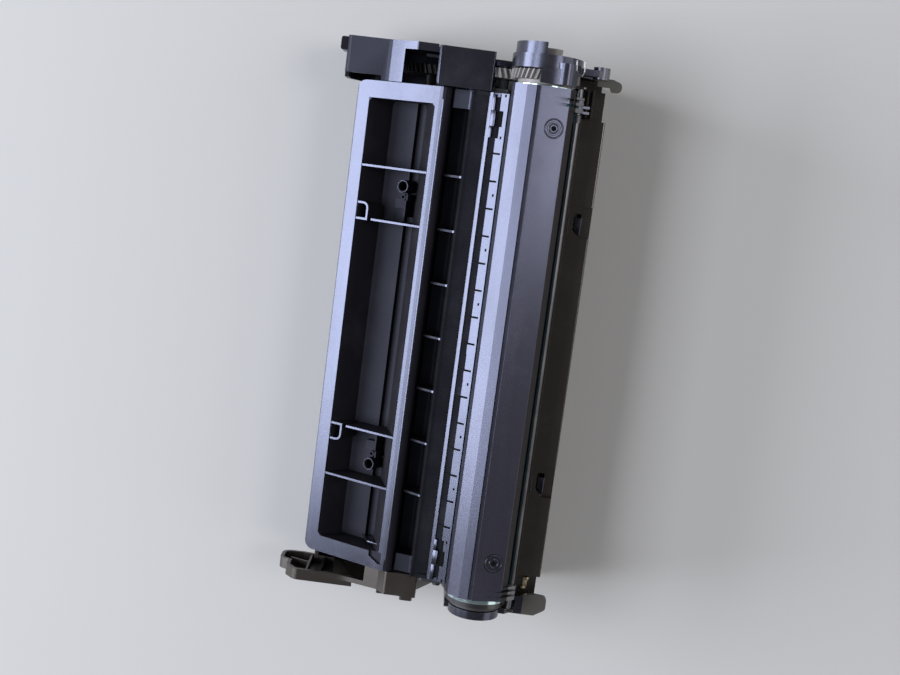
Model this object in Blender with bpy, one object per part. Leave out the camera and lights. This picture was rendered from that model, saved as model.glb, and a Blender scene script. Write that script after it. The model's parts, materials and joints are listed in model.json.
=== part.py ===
"""A toner cartridge for a laser printer, with its drum unit and its developer unit.

Run it with: blender --background --python part.py

Sizes are in millimetres and turned into metres when a piece is finished. X runs along the drum, towards
the drive end. Y runs across, towards the toner hopper. Z is up: the cartridge lies on its label side,
with the drum shutter and the hopper's lid on top.
"""

import math

import bmesh
import bpy
from mathutils import Matrix, Vector

MM = 0.001
GAP = 0.3
PLAY = 0.12
CUT = 1.0
BLIND = 0.5

# Drum
DRUM_AT = (-32.0, 68.0)
DRUM_R = 15.0
DRUM_WALL = 0.75
DRUM_HALF = 124.3
PLUG_LENGTH = 12.0
NECK_R = 12.6
JOURNAL_R = 9.0
COUPLING_R = 6.4
DRUM_PIN_R = 2.9
HUB_END = -DRUM_HALF - 2.1

# Drum shutter and its rod
SHUTTER_X = (4.8 - DRUM_HALF, DRUM_HALF - 0.7)
SHUTTER_WALL = 1.3
SHUTTER_RISE = [(2.09, 27.9), (3.29, 41.0), (3.47, 62.6), (3.29, 76.7), (2.42, 77.4), (2.37, 82.1),
                (3.42, 83.5), (3.59, 128.2), (2.88, 143.6)]
ROD_AT = (-48.5, 74.0)
ROD_R = 1.25
KNUCKLE_R = 2.2
ARM_LOW_X = (SHUTTER_X[0], SHUTTER_X[1] - 9.7)
ARM_WIDTH = 7.0
ARM_OUTLINE = [(-34.5, 85.0), (-34.5, 83.8), (-44.3, 81.0, 1.0), (-47.2, 75.6), ROD_AT, (-50.7, 74.0),
               (-50.7, 76.6, 1.5), (-43.5, 82.6, 2.0)]
GROOVE_WIDTH = 1.3
GROOVE_OUTLINE = [(-33.0, 85.6), (-42.5, 81.9), (-44.8, 78.2), (-50.5, 71.0), (-52.0, 71.0), (-52.0, 90.0),
                  (-33.0, 90.0)]
PRONG_OUTLINE = [(-48.5, 72.6), (-53.7, 73.4), (-53.7, 74.6), (-48.5, 75.6)]
SPRING_R = 1.9
SPRING_WIRE_R = 0.25
SPRING_TURNS = 5

# Developer unit's body
BODY_HALF = DRUM_HALF - 5.3

# Developer roller and its magnet core
ROLLER_ANGLE = -33.0
ROLLER_R = 7.6
ROLLER_WALL = 0.8
ROLLER_HALF = BODY_HALF - 7.0
ROLLER_SHAFT_R = 3.0
COLLAR_R = 7.9
COLLAR_WIDTH = 4.2
CORE_R = 6.2
CORE_HALF = ROLLER_HALF - 4.0
CORE_PIN_R = 1.9
BEARING_R = 5.4
BEARING_PLATE = [(-6.4, -8.0, 2.0), (9.0, -8.0, 2.0), (9.0, 6.0, 2.0), (-3.6, 6.0, 2.0)]

# Gears at the drive end
MODULE = 0.8
PRESSURE = 20.0
GEAR_X = (DRUM_HALF + 2.1, DRUM_HALF + 6.5)
HELIX_ANGLE = 16.0
DRUM_TEETH = 38
ROLLER_TEETH = 20
IDLER_TEETH = 36
AGITATOR_TEETH = 34
IDLER_ANGLE = -48.0
AGITATOR_ANGLE = -44.0
RIM_R = 11.0

# Stirrer in the hopper
AGITATOR_SHAFT_R = 3.0
AGITATOR_SEAT = 1.2
AGITATOR_SWEEP = 11.0
AGITATOR_BLADE = 0.9
AGITATOR_HALF = BODY_HALF - 7.0

# Charge roller
CHARGE_ANGLE = 237.0
CHARGE_R = 6.0
CHARGE_HALF = DRUM_HALF - 11.8
CHARGE_SHAFT_R = 2.5
CHARGE_SHAFT_HALF = CHARGE_HALF + 7.5
SADDLE_X = (CHARGE_HALF + 3.3, CHARGE_HALF + 6.9)
SADDLE_HALF = 4.2
SADDLE_SLOT = 1.8

# Toner hopper and its lid
WALL = 2.0
END_WALL = 2.4
LID_CREST = (13.2, 62.0)
LID_EDGE = (56.9, 38.0)
LID_PLATE = 2.4
LID_SHOULDER = (12.0, 43.6)
LID_TRAY = [(43.0, 1.0), (38.0, -15.0), (23.6, -15.0), (23.6, -17.4), (18.4, -17.4), (18.4, -15.0),
            (4.3, 1.0)]
LID_INNER_HALF = BODY_HALF - 8.2
LID_CORNER = 4.0
TRAY_CORNER = 2.5
TRAY_RECESS = [(3.6, -0.5), (11.0, -0.5), (11.0, 2.4), (5.2, 5.4), (3.6, 5.4)]
RIM_DROP = 0.3
TUCK = 0.15
RECESS_DEPTH = 1.4
TUBE_POST = (22.4, 70.0)
TUBE_TOP = -8.0
TUBE_R = 3.15
TUBE_WALL = 0.8
SMALL_POST = (22.1, 64.8)
SMALL_TOP = -9.0
SMALL_POST_R = 1.6
POST_PAD = [(22.0, 59.0), (28.0, 59.0), (28.0, 63.7), (22.0, 63.7)]
POST_PAD_TOP = -12.0
POST_PLATE = [(19.4, 63.4), (20.3, 63.4), (20.3, 66.4), (19.4, 66.4)]
POST_WALL = [(20.6, 55.2), (21.5, 55.2), (21.5, 63.6), (20.6, 63.6)]
POST_WALL_TOP = -10.0
RIM_POCKET = (36.0, 51.3, 60.2, 3.0)
RIM_POCKET_WALL = 1.0
RIM_POCKET_ROOT = 1.5
RIM_POCKET_FLOOR = -8.0
RIB_GAP = (33.6, 35.9)
SLIT_WALL_Y = -16.0
SLIT_WALL_TOP = 43.6
HEEL_Z = 20.0
FOOT_Y = (-13.4, 50.0)
FAR_TOE = (55.0, 6.0)
LABEL_X = BODY_HALF - 35.0
LABEL_Y = (-8.0, 44.0)
LABEL_LINE = 0.8
LABEL_DEPTH = 0.5
RIB_PITCH = 26.0
RIB_WIDTH = 1.0
PLUG_AT = (42.0, 21.0)
PLUG_R = 6.6
PLUG_HEAD_R = 8.0
PLUG_HEAD = 2.3

# Developer frame
TROUGH_FLOOR = 46.4
TROUGH_Y = (2.6, 8.6)
TROUGH_FACE = (10.7, 58.6)
BAND_TOP = 63.4
STRIP_Y = (-7.4, -9.0, -12.5, -16.4)
STRIP_TOP = 68.0
STRIP_STEPS = [(0.5, 8.0, -10.4, -12.8), (8.0, 15.3, -11.2, -14.7), (15.3, 20.7, -10.2, -13.6)]
TICKS = 15
TICK_PITCH = 13.0
TICK_WIDTH = 0.9
TICK_END = -15.4
GROOVE_TOP = 64.6
STRIP_LEAN = 0.68
BLADE_TOP = 46.9
BRACKET = 1.2
BRACKET_FOOT = 28.0
BRACKET_REACH = -4.0

# Screws
SCREW_R = 1.4
SCREW_HEAD_R = 2.6
SCREW_HEAD = 1.3
SCREW_SINK = 0.9
BLADE_SCREW_Z = 36.0
BLADE_SCREWS_X = (13.0 - BODY_HALF, 0.0, BODY_HALF - 13.0)
DRIVE_SCREWS = [(50.0, 11.0), (-4.0, 12.0)]
CONTACT_SCREWS = [(44.5, 8.5), (-3.0, 12.0)]
SCREW_BOSS_R = 3.0

# Drum plates
DRUM_PLATE_X = (GEAR_X[1] + 0.6, GEAR_X[1] + 3.6)
RING_R = 16.5
RING_TOP = DRUM_PLATE_X[1] + 3.4
BOSS_TOP = RING_TOP + 5.4
COUPLING_TOP = DRUM_PLATE_X[1] + 7.2
CONTACT_PLATE_X = (HUB_END - 4.6, HUB_END - 1.6)
PLATE_OUTLINE = [(-17.5, 66.0), (-17.0, 40.0, 4.0), (-13.8, 26.0, 6.0), (-14.2, 15.0, 6.0), (-26.0, 10.0, 4.0),
                 (-36.0, 3.0, 3.0), (-55.0, 3.0, 4.0), (-59.6, 14.0, 4.0), (-60.6, 50.0, 5.0), (-47.5, 66.0)]
GUARD_R = (16.9, 18.2)
GUARD_ANGLES = (80.0, 140.0)
GUARD_X = (DRUM_HALF + 0.6, DRUM_PLATE_X[0])
HORN_AT = (-40.3, 81.7)
HORN_R = (3.4, 4.4)
HORN_X = (DRUM_HALF + 0.7, DRUM_PLATE_X[1] + 0.2)
GUIDE_AT = (-57.3, 70.0)
GUIDE_ROOT = (-42.0, 72.0)
GUIDE_R = 3.9
GUIDE_X = (DRUM_PLATE_X[0] - 0.9, DRUM_PLATE_X[1] + 1.6)
FLAG = [(0.0, -56.0), (0.0, -63.0), (-1.4, -67.5, 2.0), (-5.9, -67.5, 2.0), (-5.9, -63.0), (-3.9, -62.0),
        (-3.9, -56.0)]
FLAG_Z = (68.8, 70.4)
TAB = [(0.0, -46.0), (0.0, -62.0), (3.5, -67.6, 2.0), (10.0, -67.6, 2.0), (10.7, -60.0), (8.5, -52.2),
       (3.4, -52.2), (3.0, -46.0)]
TAB_Z = (60.0, 63.0)
CONTACT_DISC_R = 12.5
PIVOT_AT = (-21.0, 22.0)
UNIT_PIN_R = 2.0

# Covers at the ends of the developer unit
COVER_WALL = 2.0
COVER_PLATE = 2.4
SLAB_TOP_X = DRUM_PLATE_X[1] + 3.3
DRIVE_COVER_X = (BODY_HALF + 0.4, SLAB_TOP_X + 1.4)
SLAB_Z = 65.0
SLAB_Y = (-8.0, 18.5)
DRIVE_COVER_OUTLINE = [
    (SLAB_Y[0], 47.0), (SLAB_Y[0], SLAB_Z, 1.0), (SLAB_Y[1], SLAB_Z, 1.5), (19.0, 53.0), (29.5, 52.4, 2.0),
    (37.0, 48.0), (44.0, 44.6), (64.2, 41.4, 2.4), (64.2, 24.0, 5.0), (52.0, 6.0, 5.0), (44.0, 2.0, 3.0),
    (2.0, 2.0, 3.0), (-13.0, 14.0, 4.0), (-13.0, 30.0, 4.0),
]
WINDOW_X = DRIVE_COVER_X[1] - 3.8
WINDOW_Y = (18.8, 35.5)
WINDOW_Z = (45.0, 62.0)
SLAB_CORNER = 2.5
NIB = [(-7.1, 18.0), (-5.9, 18.0), (-5.9, 24.5), (-7.1, 24.5)]
NIB_Z = (56.0, 60.0)
STOP = [(-7.1, 63.0), (-0.7, 63.0), (-0.7, 67.6, 1.0), (-7.1, 67.6, 1.0)]
STOP_Z = (26.0, 39.0)
LEDGE_Y = (46.0, 66.0)
LEDGE_Z = (37.0, 50.0)
LEDGE_WIDTH = 2.2
ROLLER_BAY_Y = (-20.0, -4.0)
ROLLER_BAY_Z = 28.0
EYE_ROOT_Y = -9.0
EYE = [(-21.0, 26.6, 3.0), (-25.4, 22.0, 2.0), (-21.0, 17.4, 3.0)]
EYE_Z = (16.0, 28.0)
CONTACT_COVER_X = (CONTACT_PLATE_X[0], -BODY_HALF - 0.4)
CONTACT_COVER_OUTLINE = [
    (-3.0, 47.0), (-3.0, 60.0, 1.0), (13.0, 60.0, 1.5), (17.0, 54.0), (30.0, 49.0), (43.0, 45.0),
    (52.0, 40.0, 3.0), (52.0, 10.0, 5.0), (44.0, 2.0, 3.0), (2.0, 2.0, 3.0), (-12.0, 14.0, 4.0),
    (-12.0, 30.0, 4.0),
]
CONTACT_OPEN_Y = (24.0, 60.0)
CONTACT_OPEN_Z = (28.0, 60.0)
BLOCKS = [([(-1.5, 40.0), (5.0, 40.0), (5.0, 58.0, 1.2), (-1.5, 58.0, 1.2)], 2.6),
          ([(5.6, 44.0), (17.0, 44.0), (17.0, 55.0, 1.0), (5.6, 55.0, 1.0)], 1.6)]
ARM_X = (CONTACT_COVER_X[0] - 3.0, CONTACT_COVER_X[0] + 2.6)
ARM_PLATE = 1.6
ARM = [(30.0, 46.5), (60.0, 46.5, 4.0), (64.8, 40.0, 3.0), (64.8, 33.0), (69.5, 30.0, 4.0), (69.5, 17.0, 5.0),
       (58.0, 16.5, 3.0), (40.0, 20.0)]
ARM_POCKET = [(40.0, 44.7), (59.2, 44.7, 2.2), (63.0, 39.4, 1.2), (63.0, 31.9), (67.7, 28.9, 2.2),
              (67.7, 18.8, 3.2), (58.2, 18.3, 1.2), (42.0, 21.4)]
ARM_RIBS = [[(46.5, 19.0), (47.5, 19.0), (47.5, 46.0), (46.5, 46.0)],
            [(53.5, 18.0), (54.5, 18.0), (54.5, 46.0), (53.5, 46.0)],
            [(54.0, 30.6), (64.0, 26.6), (64.0, 27.8), (54.0, 31.8)]]

# Waste bin
BIN_HALF = DRUM_HALF + 1.7
BIN_WALL = 2.0
FIN_HALF = BIN_HALF - 14.0
FIN_TOP = 60.2
FIN_EDGE_Y = -63.3
LIP_Y = (-50.8, -48.2)
LIP_TOP = 71.5
SHELF_TOP = 42.6
SHELF_WALL_Y = (-50.9, -52.7)
BRACKET_SEAT = 55.6
BIN_FOOT = [(-60.5, 12.0), (-56.0, 0.0, 3.0), (-38.0, 0.0, 3.0), (-31.0, 8.0, 2.0), (-30.6, 20.0)]
BIN_FOOT_INSIDE = [(-58.4, 12.6), (-54.8, BIN_WALL), (-38.8, BIN_WALL), (-33.2, 8.6), (-32.7, 20.0)]
NOTCH_X = 64.0
NOTCH_HALF = 7.5
NOTCH_SLANT = 3.6
NOTCH_Y = (-58.4, -54.6)
NOTCH_DEPTH = 2.4
NOTCH_FLOOR = 6.0
NOTCH_BLOCK = 1.2
BIN_SPLIT = 12.0
LEG = [(-60.2, 16.0), (-50.0, 16.0), (-50.0, 52.0), (-60.2, 52.0)]
POST = [(-51.7, 51.6), (-46.6, 51.6), (-46.4, 76.2, 1.2), (-50.9, 76.2, 1.2)]
POST_WIDTH = 1.1
END_RIBS_Y = [(-50.2, -49.2), (-53.4, -52.6), (-55.8, -55.0)]
END_RIBS_TOP = 66.0
BLADE_ANGLE = 195.6


def polar(centre, radius, degrees):
    """The point at that radius and angle round centre."""
    angle = math.radians(degrees)
    return (centre[0] + radius * math.cos(angle), centre[1] + radius * math.sin(angle))


SHUTTER_TOP = [polar(DRUM_AT, DRUM_R + rise, angle) for rise, angle in SHUTTER_RISE]
ROLLER_AT = polar(DRUM_AT, MODULE * (DRUM_TEETH + ROLLER_TEETH) / 2, ROLLER_ANGLE)
IDLER_AT = polar(ROLLER_AT, MODULE * (ROLLER_TEETH + IDLER_TEETH) / 2, IDLER_ANGLE)
AGITATOR_AT = polar(IDLER_AT, MODULE * (IDLER_TEETH + AGITATOR_TEETH) / 2, AGITATOR_ANGLE)
CHARGE_AT = polar(DRUM_AT, DRUM_R + GAP + CHARGE_R, CHARGE_ANGLE)

LID_LENGTH = math.dist(LID_CREST, LID_EDGE)
LID_ALONG = ((LID_EDGE[0] - LID_CREST[0]) / LID_LENGTH, (LID_EDGE[1] - LID_CREST[1]) / LID_LENGTH)
LID_UP = (-LID_ALONG[1], LID_ALONG[0])

# Columns say which way an outline's two numbers and its depth point
ALONG_X = Matrix(((0, 0, 1, 0), (1, 0, 0, 0), (0, 1, 0, 0), (0, 0, 0, 1)))
ALONG_Y = Matrix(((1, 0, 0, 0), (0, 0, 1, 0), (0, 1, 0, 0), (0, 0, 0, 1)))
ALONG_Z = Matrix.Identity(4)
ON_LID = Matrix(((0, 1, 0, 0), (LID_ALONG[0], 0, LID_UP[0], LID_CREST[0]),
                 (LID_ALONG[1], 0, LID_UP[1], LID_CREST[1]), (0, 0, 0, 1)))

BODIES = {
    "drum_unit": (0.0, 0.0),
    "developer_unit": PIVOT_AT,
    "drum": DRUM_AT,
    "charge_roller": CHARGE_AT,
    "developer_roller": ROLLER_AT,
    "idler": IDLER_AT,
    "agitator": AGITATOR_AT,
    "shutter": ROD_AT,
}

# Colour, roughness and metallic value of each material
BLACK = ((0.020, 0.020, 0.026, 1.0), 0.42, 0.0)
GLOSS_BLACK = ((0.012, 0.012, 0.016, 1.0), 0.25, 0.0)
GREY_BLACK = ((0.040, 0.038, 0.040, 1.0), 0.5, 0.0)
STEEL = ((0.62, 0.62, 0.64, 1.0), 0.3, 1.0)
ZINC = ((0.55, 0.57, 0.58, 1.0), 0.4, 1.0)
RUBBER = ((0.03, 0.03, 0.032, 1.0), 0.8, 0.0)
BLADE_RUBBER = ((0.25, 0.18, 0.10, 1.0), 0.6, 0.0)
DRUM_COAT = ((0.10, 0.32, 0.36, 1.0), 0.15, 0.3)
BROWN_PLASTIC = ((0.11, 0.09, 0.08, 1.0), 0.5, 0.0)
PALE_PLASTIC = ((0.62, 0.60, 0.55, 1.0), 0.5, 0.0)
WHITE_PLASTIC = ((0.80, 0.80, 0.78, 1.0), 0.5, 0.0)
FILM = ((0.55, 0.50, 0.38, 1.0), 0.35, 0.0)
SPRING_WIRE = ((0.60, 0.60, 0.62, 1.0), 0.3, 1.0)


def lid_point(along, up):
    """The (y, z) point at that distance along the lid's slope and above its rim."""
    return (LID_CREST[0] + along * LID_ALONG[0] + up * LID_UP[0],
            LID_CREST[1] + along * LID_ALONG[1] + up * LID_UP[1])


def box_outline(low, high):
    """A rectangle between two corners."""
    return [(low[0], low[1]), (high[0], low[1]), (high[0], high[1]), (low[0], high[1])]


def circle(centre, radius, segments, turn=0.0):
    """A regular outline round centre."""
    return [polar(centre, radius, turn + 360 * index / segments) for index in range(segments)]


def rounded(points, steps=3):
    """The outline, with an arc at each corner that has a radius as its third number."""
    outline = []
    for index, point in enumerate(points):
        corner = Vector(point[:2])
        if len(point) < 3:
            outline.append(corner)
            continue
        before = (Vector(points[index - 1][:2]) - corner).normalized()
        after = (Vector(points[(index + 1) % len(points)][:2]) - corner).normalized()
        half = before.angle(after) / 2
        centre = corner + (before + after).normalized() * (point[2] / math.sin(half))
        start = corner + before * (point[2] / math.tan(half)) - centre
        end = corner + after * (point[2] / math.tan(half)) - centre
        first = math.atan2(start.y, start.x)
        sweep = (math.atan2(end.y, end.x) - first + math.pi) % (2 * math.pi) - math.pi
        for step in range(steps + 1):
            angle = first + sweep * step / steps
            outline.append(centre + Vector((math.cos(angle), math.sin(angle))) * point[2])
    return [(point[0], point[1]) for point in outline]


def grown(outline, distance):
    """The outline moved outwards by distance, or inwards where distance is negative."""
    points = [Vector(point[:2]) for point in outline]
    area = sum(points[index - 1].cross(point) for index, point in enumerate(points))
    side = distance if area > 0 else -distance
    moved = []
    for index, point in enumerate(points):
        into = (point - points[index - 1]).normalized()
        out = (points[(index + 1) % len(points)] - point).normalized()
        normal_in = Vector((into.y, -into.x))
        normal_out = Vector((out.y, -out.x))
        mitre = (normal_in + normal_out) / (1 + normal_in.dot(normal_out))
        corner = point + mitre * side
        radius = outline[index][2] if len(outline[index]) > 2 else 0.0
        radius += side if into.cross(out) > 0 else -side
        if len(outline[index]) > 2 and radius > 0.1:
            moved.append((corner.x, corner.y, radius))
        else:
            moved.append((corner.x, corner.y))
    return moved


def stadium(start, end, radius, steps=6):
    """Two half circles joined by straight sides."""
    heading = math.degrees(math.atan2(end[1] - start[1], end[0] - start[0]))
    far = [polar(end, radius, heading - 90 + 180 * step / steps) for step in range(steps + 1)]
    near = [polar(start, radius, heading + 90 + 180 * step / steps) for step in range(steps + 1)]
    return far + near


def corner_waste(corner, inward, radius, steps=3):
    """What rounding takes off a square corner; inward has the signs that lead into the piece."""
    along, across = inward
    centre = (corner[0] + along * radius, corner[1] + across * radius)
    arc = []
    for step in range(steps + 1):
        angle = math.pi / 2 * step / steps
        arc.append((centre[0] - along * radius * math.sin(angle), centre[1] - across * radius * math.cos(angle)))
    square = (corner[0] - along, corner[1] - across)
    return arc + [(square[0], centre[1]), square, (centre[0], square[1])]


def shifted(outline, by=(0.0, 0.0)):
    """The outline moved, with its corner radii."""
    return [(point[0] + by[0], point[1] + by[1], *point[2:]) for point in outline]


def mirrored(outline, end):
    """The outline with its second numbers turned over where the end's sign is negative."""
    return [(point[0], end * point[1], *point[2:]) for point in outline]


def closed_mesh(mesh_builder):
    """A mesh from a bmesh, with its faces pointing out."""
    bmesh.ops.recalc_face_normals(mesh_builder, faces=mesh_builder.faces)
    mesh = bpy.data.meshes.new("shape")
    mesh_builder.to_mesh(mesh)
    mesh_builder.free()
    return mesh


def loft(sections, frame=ALONG_X):
    """A closed shape through outlines with equal point counts, each given as (depth, outline)."""
    builder = bmesh.new()
    rings = []
    for depth, outline in sections:
        rings.append([builder.verts.new(frame @ Vector((*point, depth))) for point in rounded(outline)])
    builder.faces.new(rings[0][::-1])
    builder.faces.new(rings[-1])
    for low, high in zip(rings, rings[1:]):
        for index in range(len(low)):
            builder.faces.new((low[index - 1], low[index], high[index], high[index - 1]))
    return closed_mesh(builder)


def prism(outline, low, high, frame=ALONG_X):
    """The outline as a solid from depth low to depth high."""
    return loft([(low, outline), (high, outline)], frame)


def box(x, y, z):
    """A box given by its low and high value along each axis."""
    return prism(box_outline((y[0], z[0]), (y[1], z[1])), x[0], x[1])


def bar(centre, radius, low, high, segments=16, frame=ALONG_X):
    """A round bar."""
    return prism(circle(centre, radius, segments), low, high, frame)


def turned(centre, profile, segments, frame=ALONG_X):
    """A profile of (depth, radius) points turned round centre, closed where its radius is nought."""
    builder = bmesh.new()
    rings = []
    for depth, radius in profile:
        count = segments if radius > 0 else 1
        ring = circle(centre, radius, count)
        rings.append([builder.verts.new(frame @ Vector((point[0], point[1], depth))) for point in ring])
    for index, ring in enumerate(rings):
        low = rings[index - 1]
        if len(low) == 1 and len(ring) == 1:
            continue
        for step in range(segments):
            corners = [low[step % len(low)], low[(step + 1) % len(low)],
                       ring[(step + 1) % len(ring)], ring[step % len(ring)]]
            builder.faces.new(list(dict.fromkeys(corners)))
    return closed_mesh(builder)


def coil(centre, radius, wire, low, high, turns, steps=10, sides=4):
    """A wire wound round centre from depth low to depth high."""
    builder = bmesh.new()
    rings = []
    for step in range(turns * steps + 1):
        turn = step / steps
        depth = low + (high - low) * turn / turns
        ring = []
        for side in range(sides):
            angle = 2 * math.pi * side / sides
            point = polar(centre, radius + wire * math.cos(angle), 360 * turn)
            ring.append(builder.verts.new(ALONG_X @ Vector((*point, depth + wire * math.sin(angle)))))
        rings.append(ring)
    builder.faces.new(rings[0][::-1])
    builder.faces.new(rings[-1])
    for near, far in zip(rings, rings[1:]):
        for side in range(sides):
            builder.faces.new((near[side - 1], near[side], far[side], far[side - 1]))
    return closed_mesh(builder)


class Solid:
    """A shape in millimetres that other shapes are added to and cut from."""

    def __init__(self, mesh):
        self.object = bpy.data.objects.new("work", mesh)
        bpy.context.scene.collection.objects.link(self.object)

    def combine(self, meshes, operation):
        """Apply one Boolean for each mesh."""
        tools = []
        for mesh in meshes:
            tool = bpy.data.objects.new("tool", mesh)
            bpy.context.scene.collection.objects.link(tool)
            modifier = self.object.modifiers.new("combine", "BOOLEAN")
            modifier.solver = "EXACT"
            modifier.operation = operation
            modifier.object = tool
            tools.append(tool)
        graph = bpy.context.evaluated_depsgraph_get()
        result = bpy.data.meshes.new_from_object(self.object.evaluated_get(graph))
        self.object.modifiers.clear()
        self.object.data = result
        for tool in tools:
            bpy.data.objects.remove(tool)
        return self

    def add(self, *meshes):
        return self.combine(meshes, "UNION")

    def cut(self, *meshes):
        return self.combine(meshes, "DIFFERENCE")

    def finish(self, name, body, look):
        """Name the piece, hang it on its body's axis and give it its material."""
        at = BODIES[body]
        piece = self.object
        piece.data.transform(Matrix.Scale(MM, 4) @ Matrix.Translation((0.0, -at[0], -at[1])))
        piece.name = name
        piece.data.name = name
        piece.parent = bpy.data.objects[body + "_axis"]
        for polygon in piece.data.polygons:
            polygon.use_smooth = True
        piece.data.set_sharp_from_angle(angle=math.radians(35))
        colour, roughness, metallic = look
        material = bpy.data.materials.new(name)
        material.use_nodes = True
        shader = material.node_tree.nodes["Principled BSDF"]
        shader.inputs["Base Color"].default_value = colour
        shader.inputs["Roughness"].default_value = roughness
        shader.inputs["Metallic"].default_value = metallic
        piece.data.materials.clear()
        piece.data.materials.append(material)
        return piece


def both_ends(make):
    """One shape for each end, from a function of the end's sign."""
    return [make(end) for end in (-1, 1)]


def span(end, near, far):
    """The x range between two distances from the middle, at the end with that sign."""
    return (end * near, end * far) if end > 0 else (end * far, end * near)


def lid_depth(y, up=0.0):
    """Height of the plane parallel to the lid's rim, at that y."""
    along = (y - LID_CREST[0] - up * LID_UP[0]) / LID_ALONG[0]
    return lid_point(along, up)[1]


def on_slope(outline):
    """The (y, z) outline of points given along and above the lid's slope."""
    return [(*lid_point(point[0], point[1]), *point[2:]) for point in outline]


def below_rim(outline, up):
    """The outline, cut off at the plane that lies that far above the lid's rim."""
    return [(point[0], min(point[1], lid_depth(point[0], up))) for point in outline]


def screw(name, body, centre, tip, seat, frame=ALONG_X):
    """A screw along the frame's depth, with its head at the seat."""
    top = seat + (SCREW_HEAD if seat > tip else -SCREW_HEAD)
    profile = [
        (tip, 0.0), (tip, SCREW_R), (seat, SCREW_R), (seat, SCREW_HEAD_R), (top, SCREW_HEAD_R - MODULE / 2),
        (top, SCREW_R), ((top + seat) / 2, 0.0),
    ]
    Solid(turned(centre, profile, 8, frame)).finish(name, body, STEEL)


def hopper_outline():
    """Outside of the hopper: the label face below, the lid's seat above."""
    seat = -LID_PLATE - GAP
    return [
        (SLIT_WALL_Y, SLIT_WALL_TOP), (SLIT_WALL_Y, HEEL_Z), (FOOT_Y[0], 0.0, 1.5), (FOOT_Y[1], 0.0, 2.0),
        (*FAR_TOE, 3.0), (LID_EDGE[0], lid_depth(LID_EDGE[0], seat)), lid_point(5.5, seat), LID_SHOULDER,
    ]


def hopper_cavity():
    """Inside of the hopper, open at the top."""
    near = SLIT_WALL_Y + WALL
    return [
        (near, LID_CREST[1]), (near, HEEL_Z), (FOOT_Y[0] + WALL, WALL, 1.0), (FOOT_Y[1] - 0.8, WALL, 2.0),
        (FAR_TOE[0] - WALL, FAR_TOE[1] + 0.8, 2.0), (LID_EDGE[0] - WALL, LID_CREST[1]),
    ]


def toner_hopper():
    """Open moulding that holds the toner, closed by the lid and the developer frame."""
    inner_half = BODY_HALF - END_WALL
    hopper = Solid(prism(hopper_outline(), -BODY_HALF, BODY_HALF))
    hopper.cut(prism(hopper_cavity(), -inner_half, inner_half))
    under = (-CUT, LABEL_DEPTH)
    hopper.cut(
        box((-LABEL_X, LABEL_X), (LABEL_Y[0], LABEL_Y[0] + LABEL_LINE), under),
        box((-LABEL_X, LABEL_X), (LABEL_Y[1] - LABEL_LINE, LABEL_Y[1]), under),
        *both_ends(lambda end: box(span(end, LABEL_X - LABEL_LINE, LABEL_X), LABEL_Y, under)),
    )
    hopper.cut(
        bar(AGITATOR_AT, AGITATOR_SHAFT_R + PLAY, -BODY_HALF - CUT, BODY_HALF + CUT),
        bar(PLUG_AT, PLUG_R + PLAY, -BODY_HALF - CUT, -inner_half + CUT, 24),
    )
    hole = SCREW_R + PLAY
    depth = BODY_HALF - END_WALL + BLIND
    hopper.cut(*[bar(at, hole, depth, BODY_HALF + CUT, 12) for at in DRIVE_SCREWS])
    hopper.cut(*[bar(at, hole, -BODY_HALF - CUT, -depth, 12) for at in CONTACT_SCREWS])
    wall = SLIT_WALL_Y + WALL - BLIND
    hopper.cut(*[bar((x, BLADE_SCREW_Z), hole, SLIT_WALL_Y - CUT, wall, 12, ALONG_Y) for x in BLADE_SCREWS_X])
    hopper.cut(*both_ends(lambda end: lid_corner(end, -CUT)))
    hopper.finish("toner_hopper", "developer_unit", BLACK)


def lid_corner(end, low):
    """What rounding takes off the far corner that hopper and lid share."""
    corner = (end * BODY_HALF, LID_EDGE[0])
    return prism(corner_waste(corner, (-end, -1), LID_CORNER), low, LID_CREST[1], ALONG_Z)


def tray_wall(top, foot, up):
    """How far along the slope a leaning wall of the tray lies at that height."""
    return foot[0] + (top[0] - foot[0]) * (up - foot[1]) / (top[1] - foot[1])


def tray_corners(end):
    """Fillets in the two corners of the tray at one end."""
    walls = ((-1, LID_TRAY[0], LID_TRAY[1]), (1, LID_TRAY[6], LID_TRAY[5]))
    edge = end * (LID_INNER_HALF + TUCK)
    fillets = []
    for inward, top, foot in walls:
        sections = []
        for up in (foot[1] - CUT, -RIM_DROP):
            corner = (tray_wall(top, foot, up) - inward * TUCK, edge)
            sections.append((up, corner_waste(corner, (inward, -end), TRAY_CORNER)))
        fillets.append(loft(sections, ON_LID))
    return fillets


def rim_pocket(end, inset, heights):
    """The pocket at the tray's far wall between two heights, made smaller by inset."""
    near, low, high, corner = RIM_POCKET
    sections = []
    for up in heights:
        far = tray_wall(LID_TRAY[0], LID_TRAY[1], up) + (RIM_POCKET_ROOT if inset == 0 else -TUCK)
        outline = [(near + inset, low + inset), (far, low + inset), (far, high - inset),
                   (near + inset, high - inset, corner - inset)]
        sections.append((up, mirrored(outline, end)))
    return loft(sections, ON_LID)


def tray_posts(end):
    """Posts, pads and thin walls on the tray's floor at one end."""
    root = LID_TRAY[3][1] - 0.6
    tube = (TUBE_POST[0], end * TUBE_POST[1])
    small = (SMALL_POST[0], end * SMALL_POST[1])
    return [
        bar(tube, TUBE_R, root, TUBE_TOP, 20, ON_LID),
        bar(small, SMALL_POST_R, root, SMALL_TOP, 12, ON_LID),
        prism(mirrored(POST_PAD, end), root, POST_PAD_TOP, ON_LID),
        prism(mirrored(POST_PLATE, end), root, SMALL_TOP, ON_LID),
        prism(mirrored(POST_WALL, end), root, POST_WALL_TOP, ON_LID),
        rim_pocket(end, 0.0, (LID_TRAY[1][1] - CUT, -RIM_DROP - TUCK)),
    ]


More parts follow.
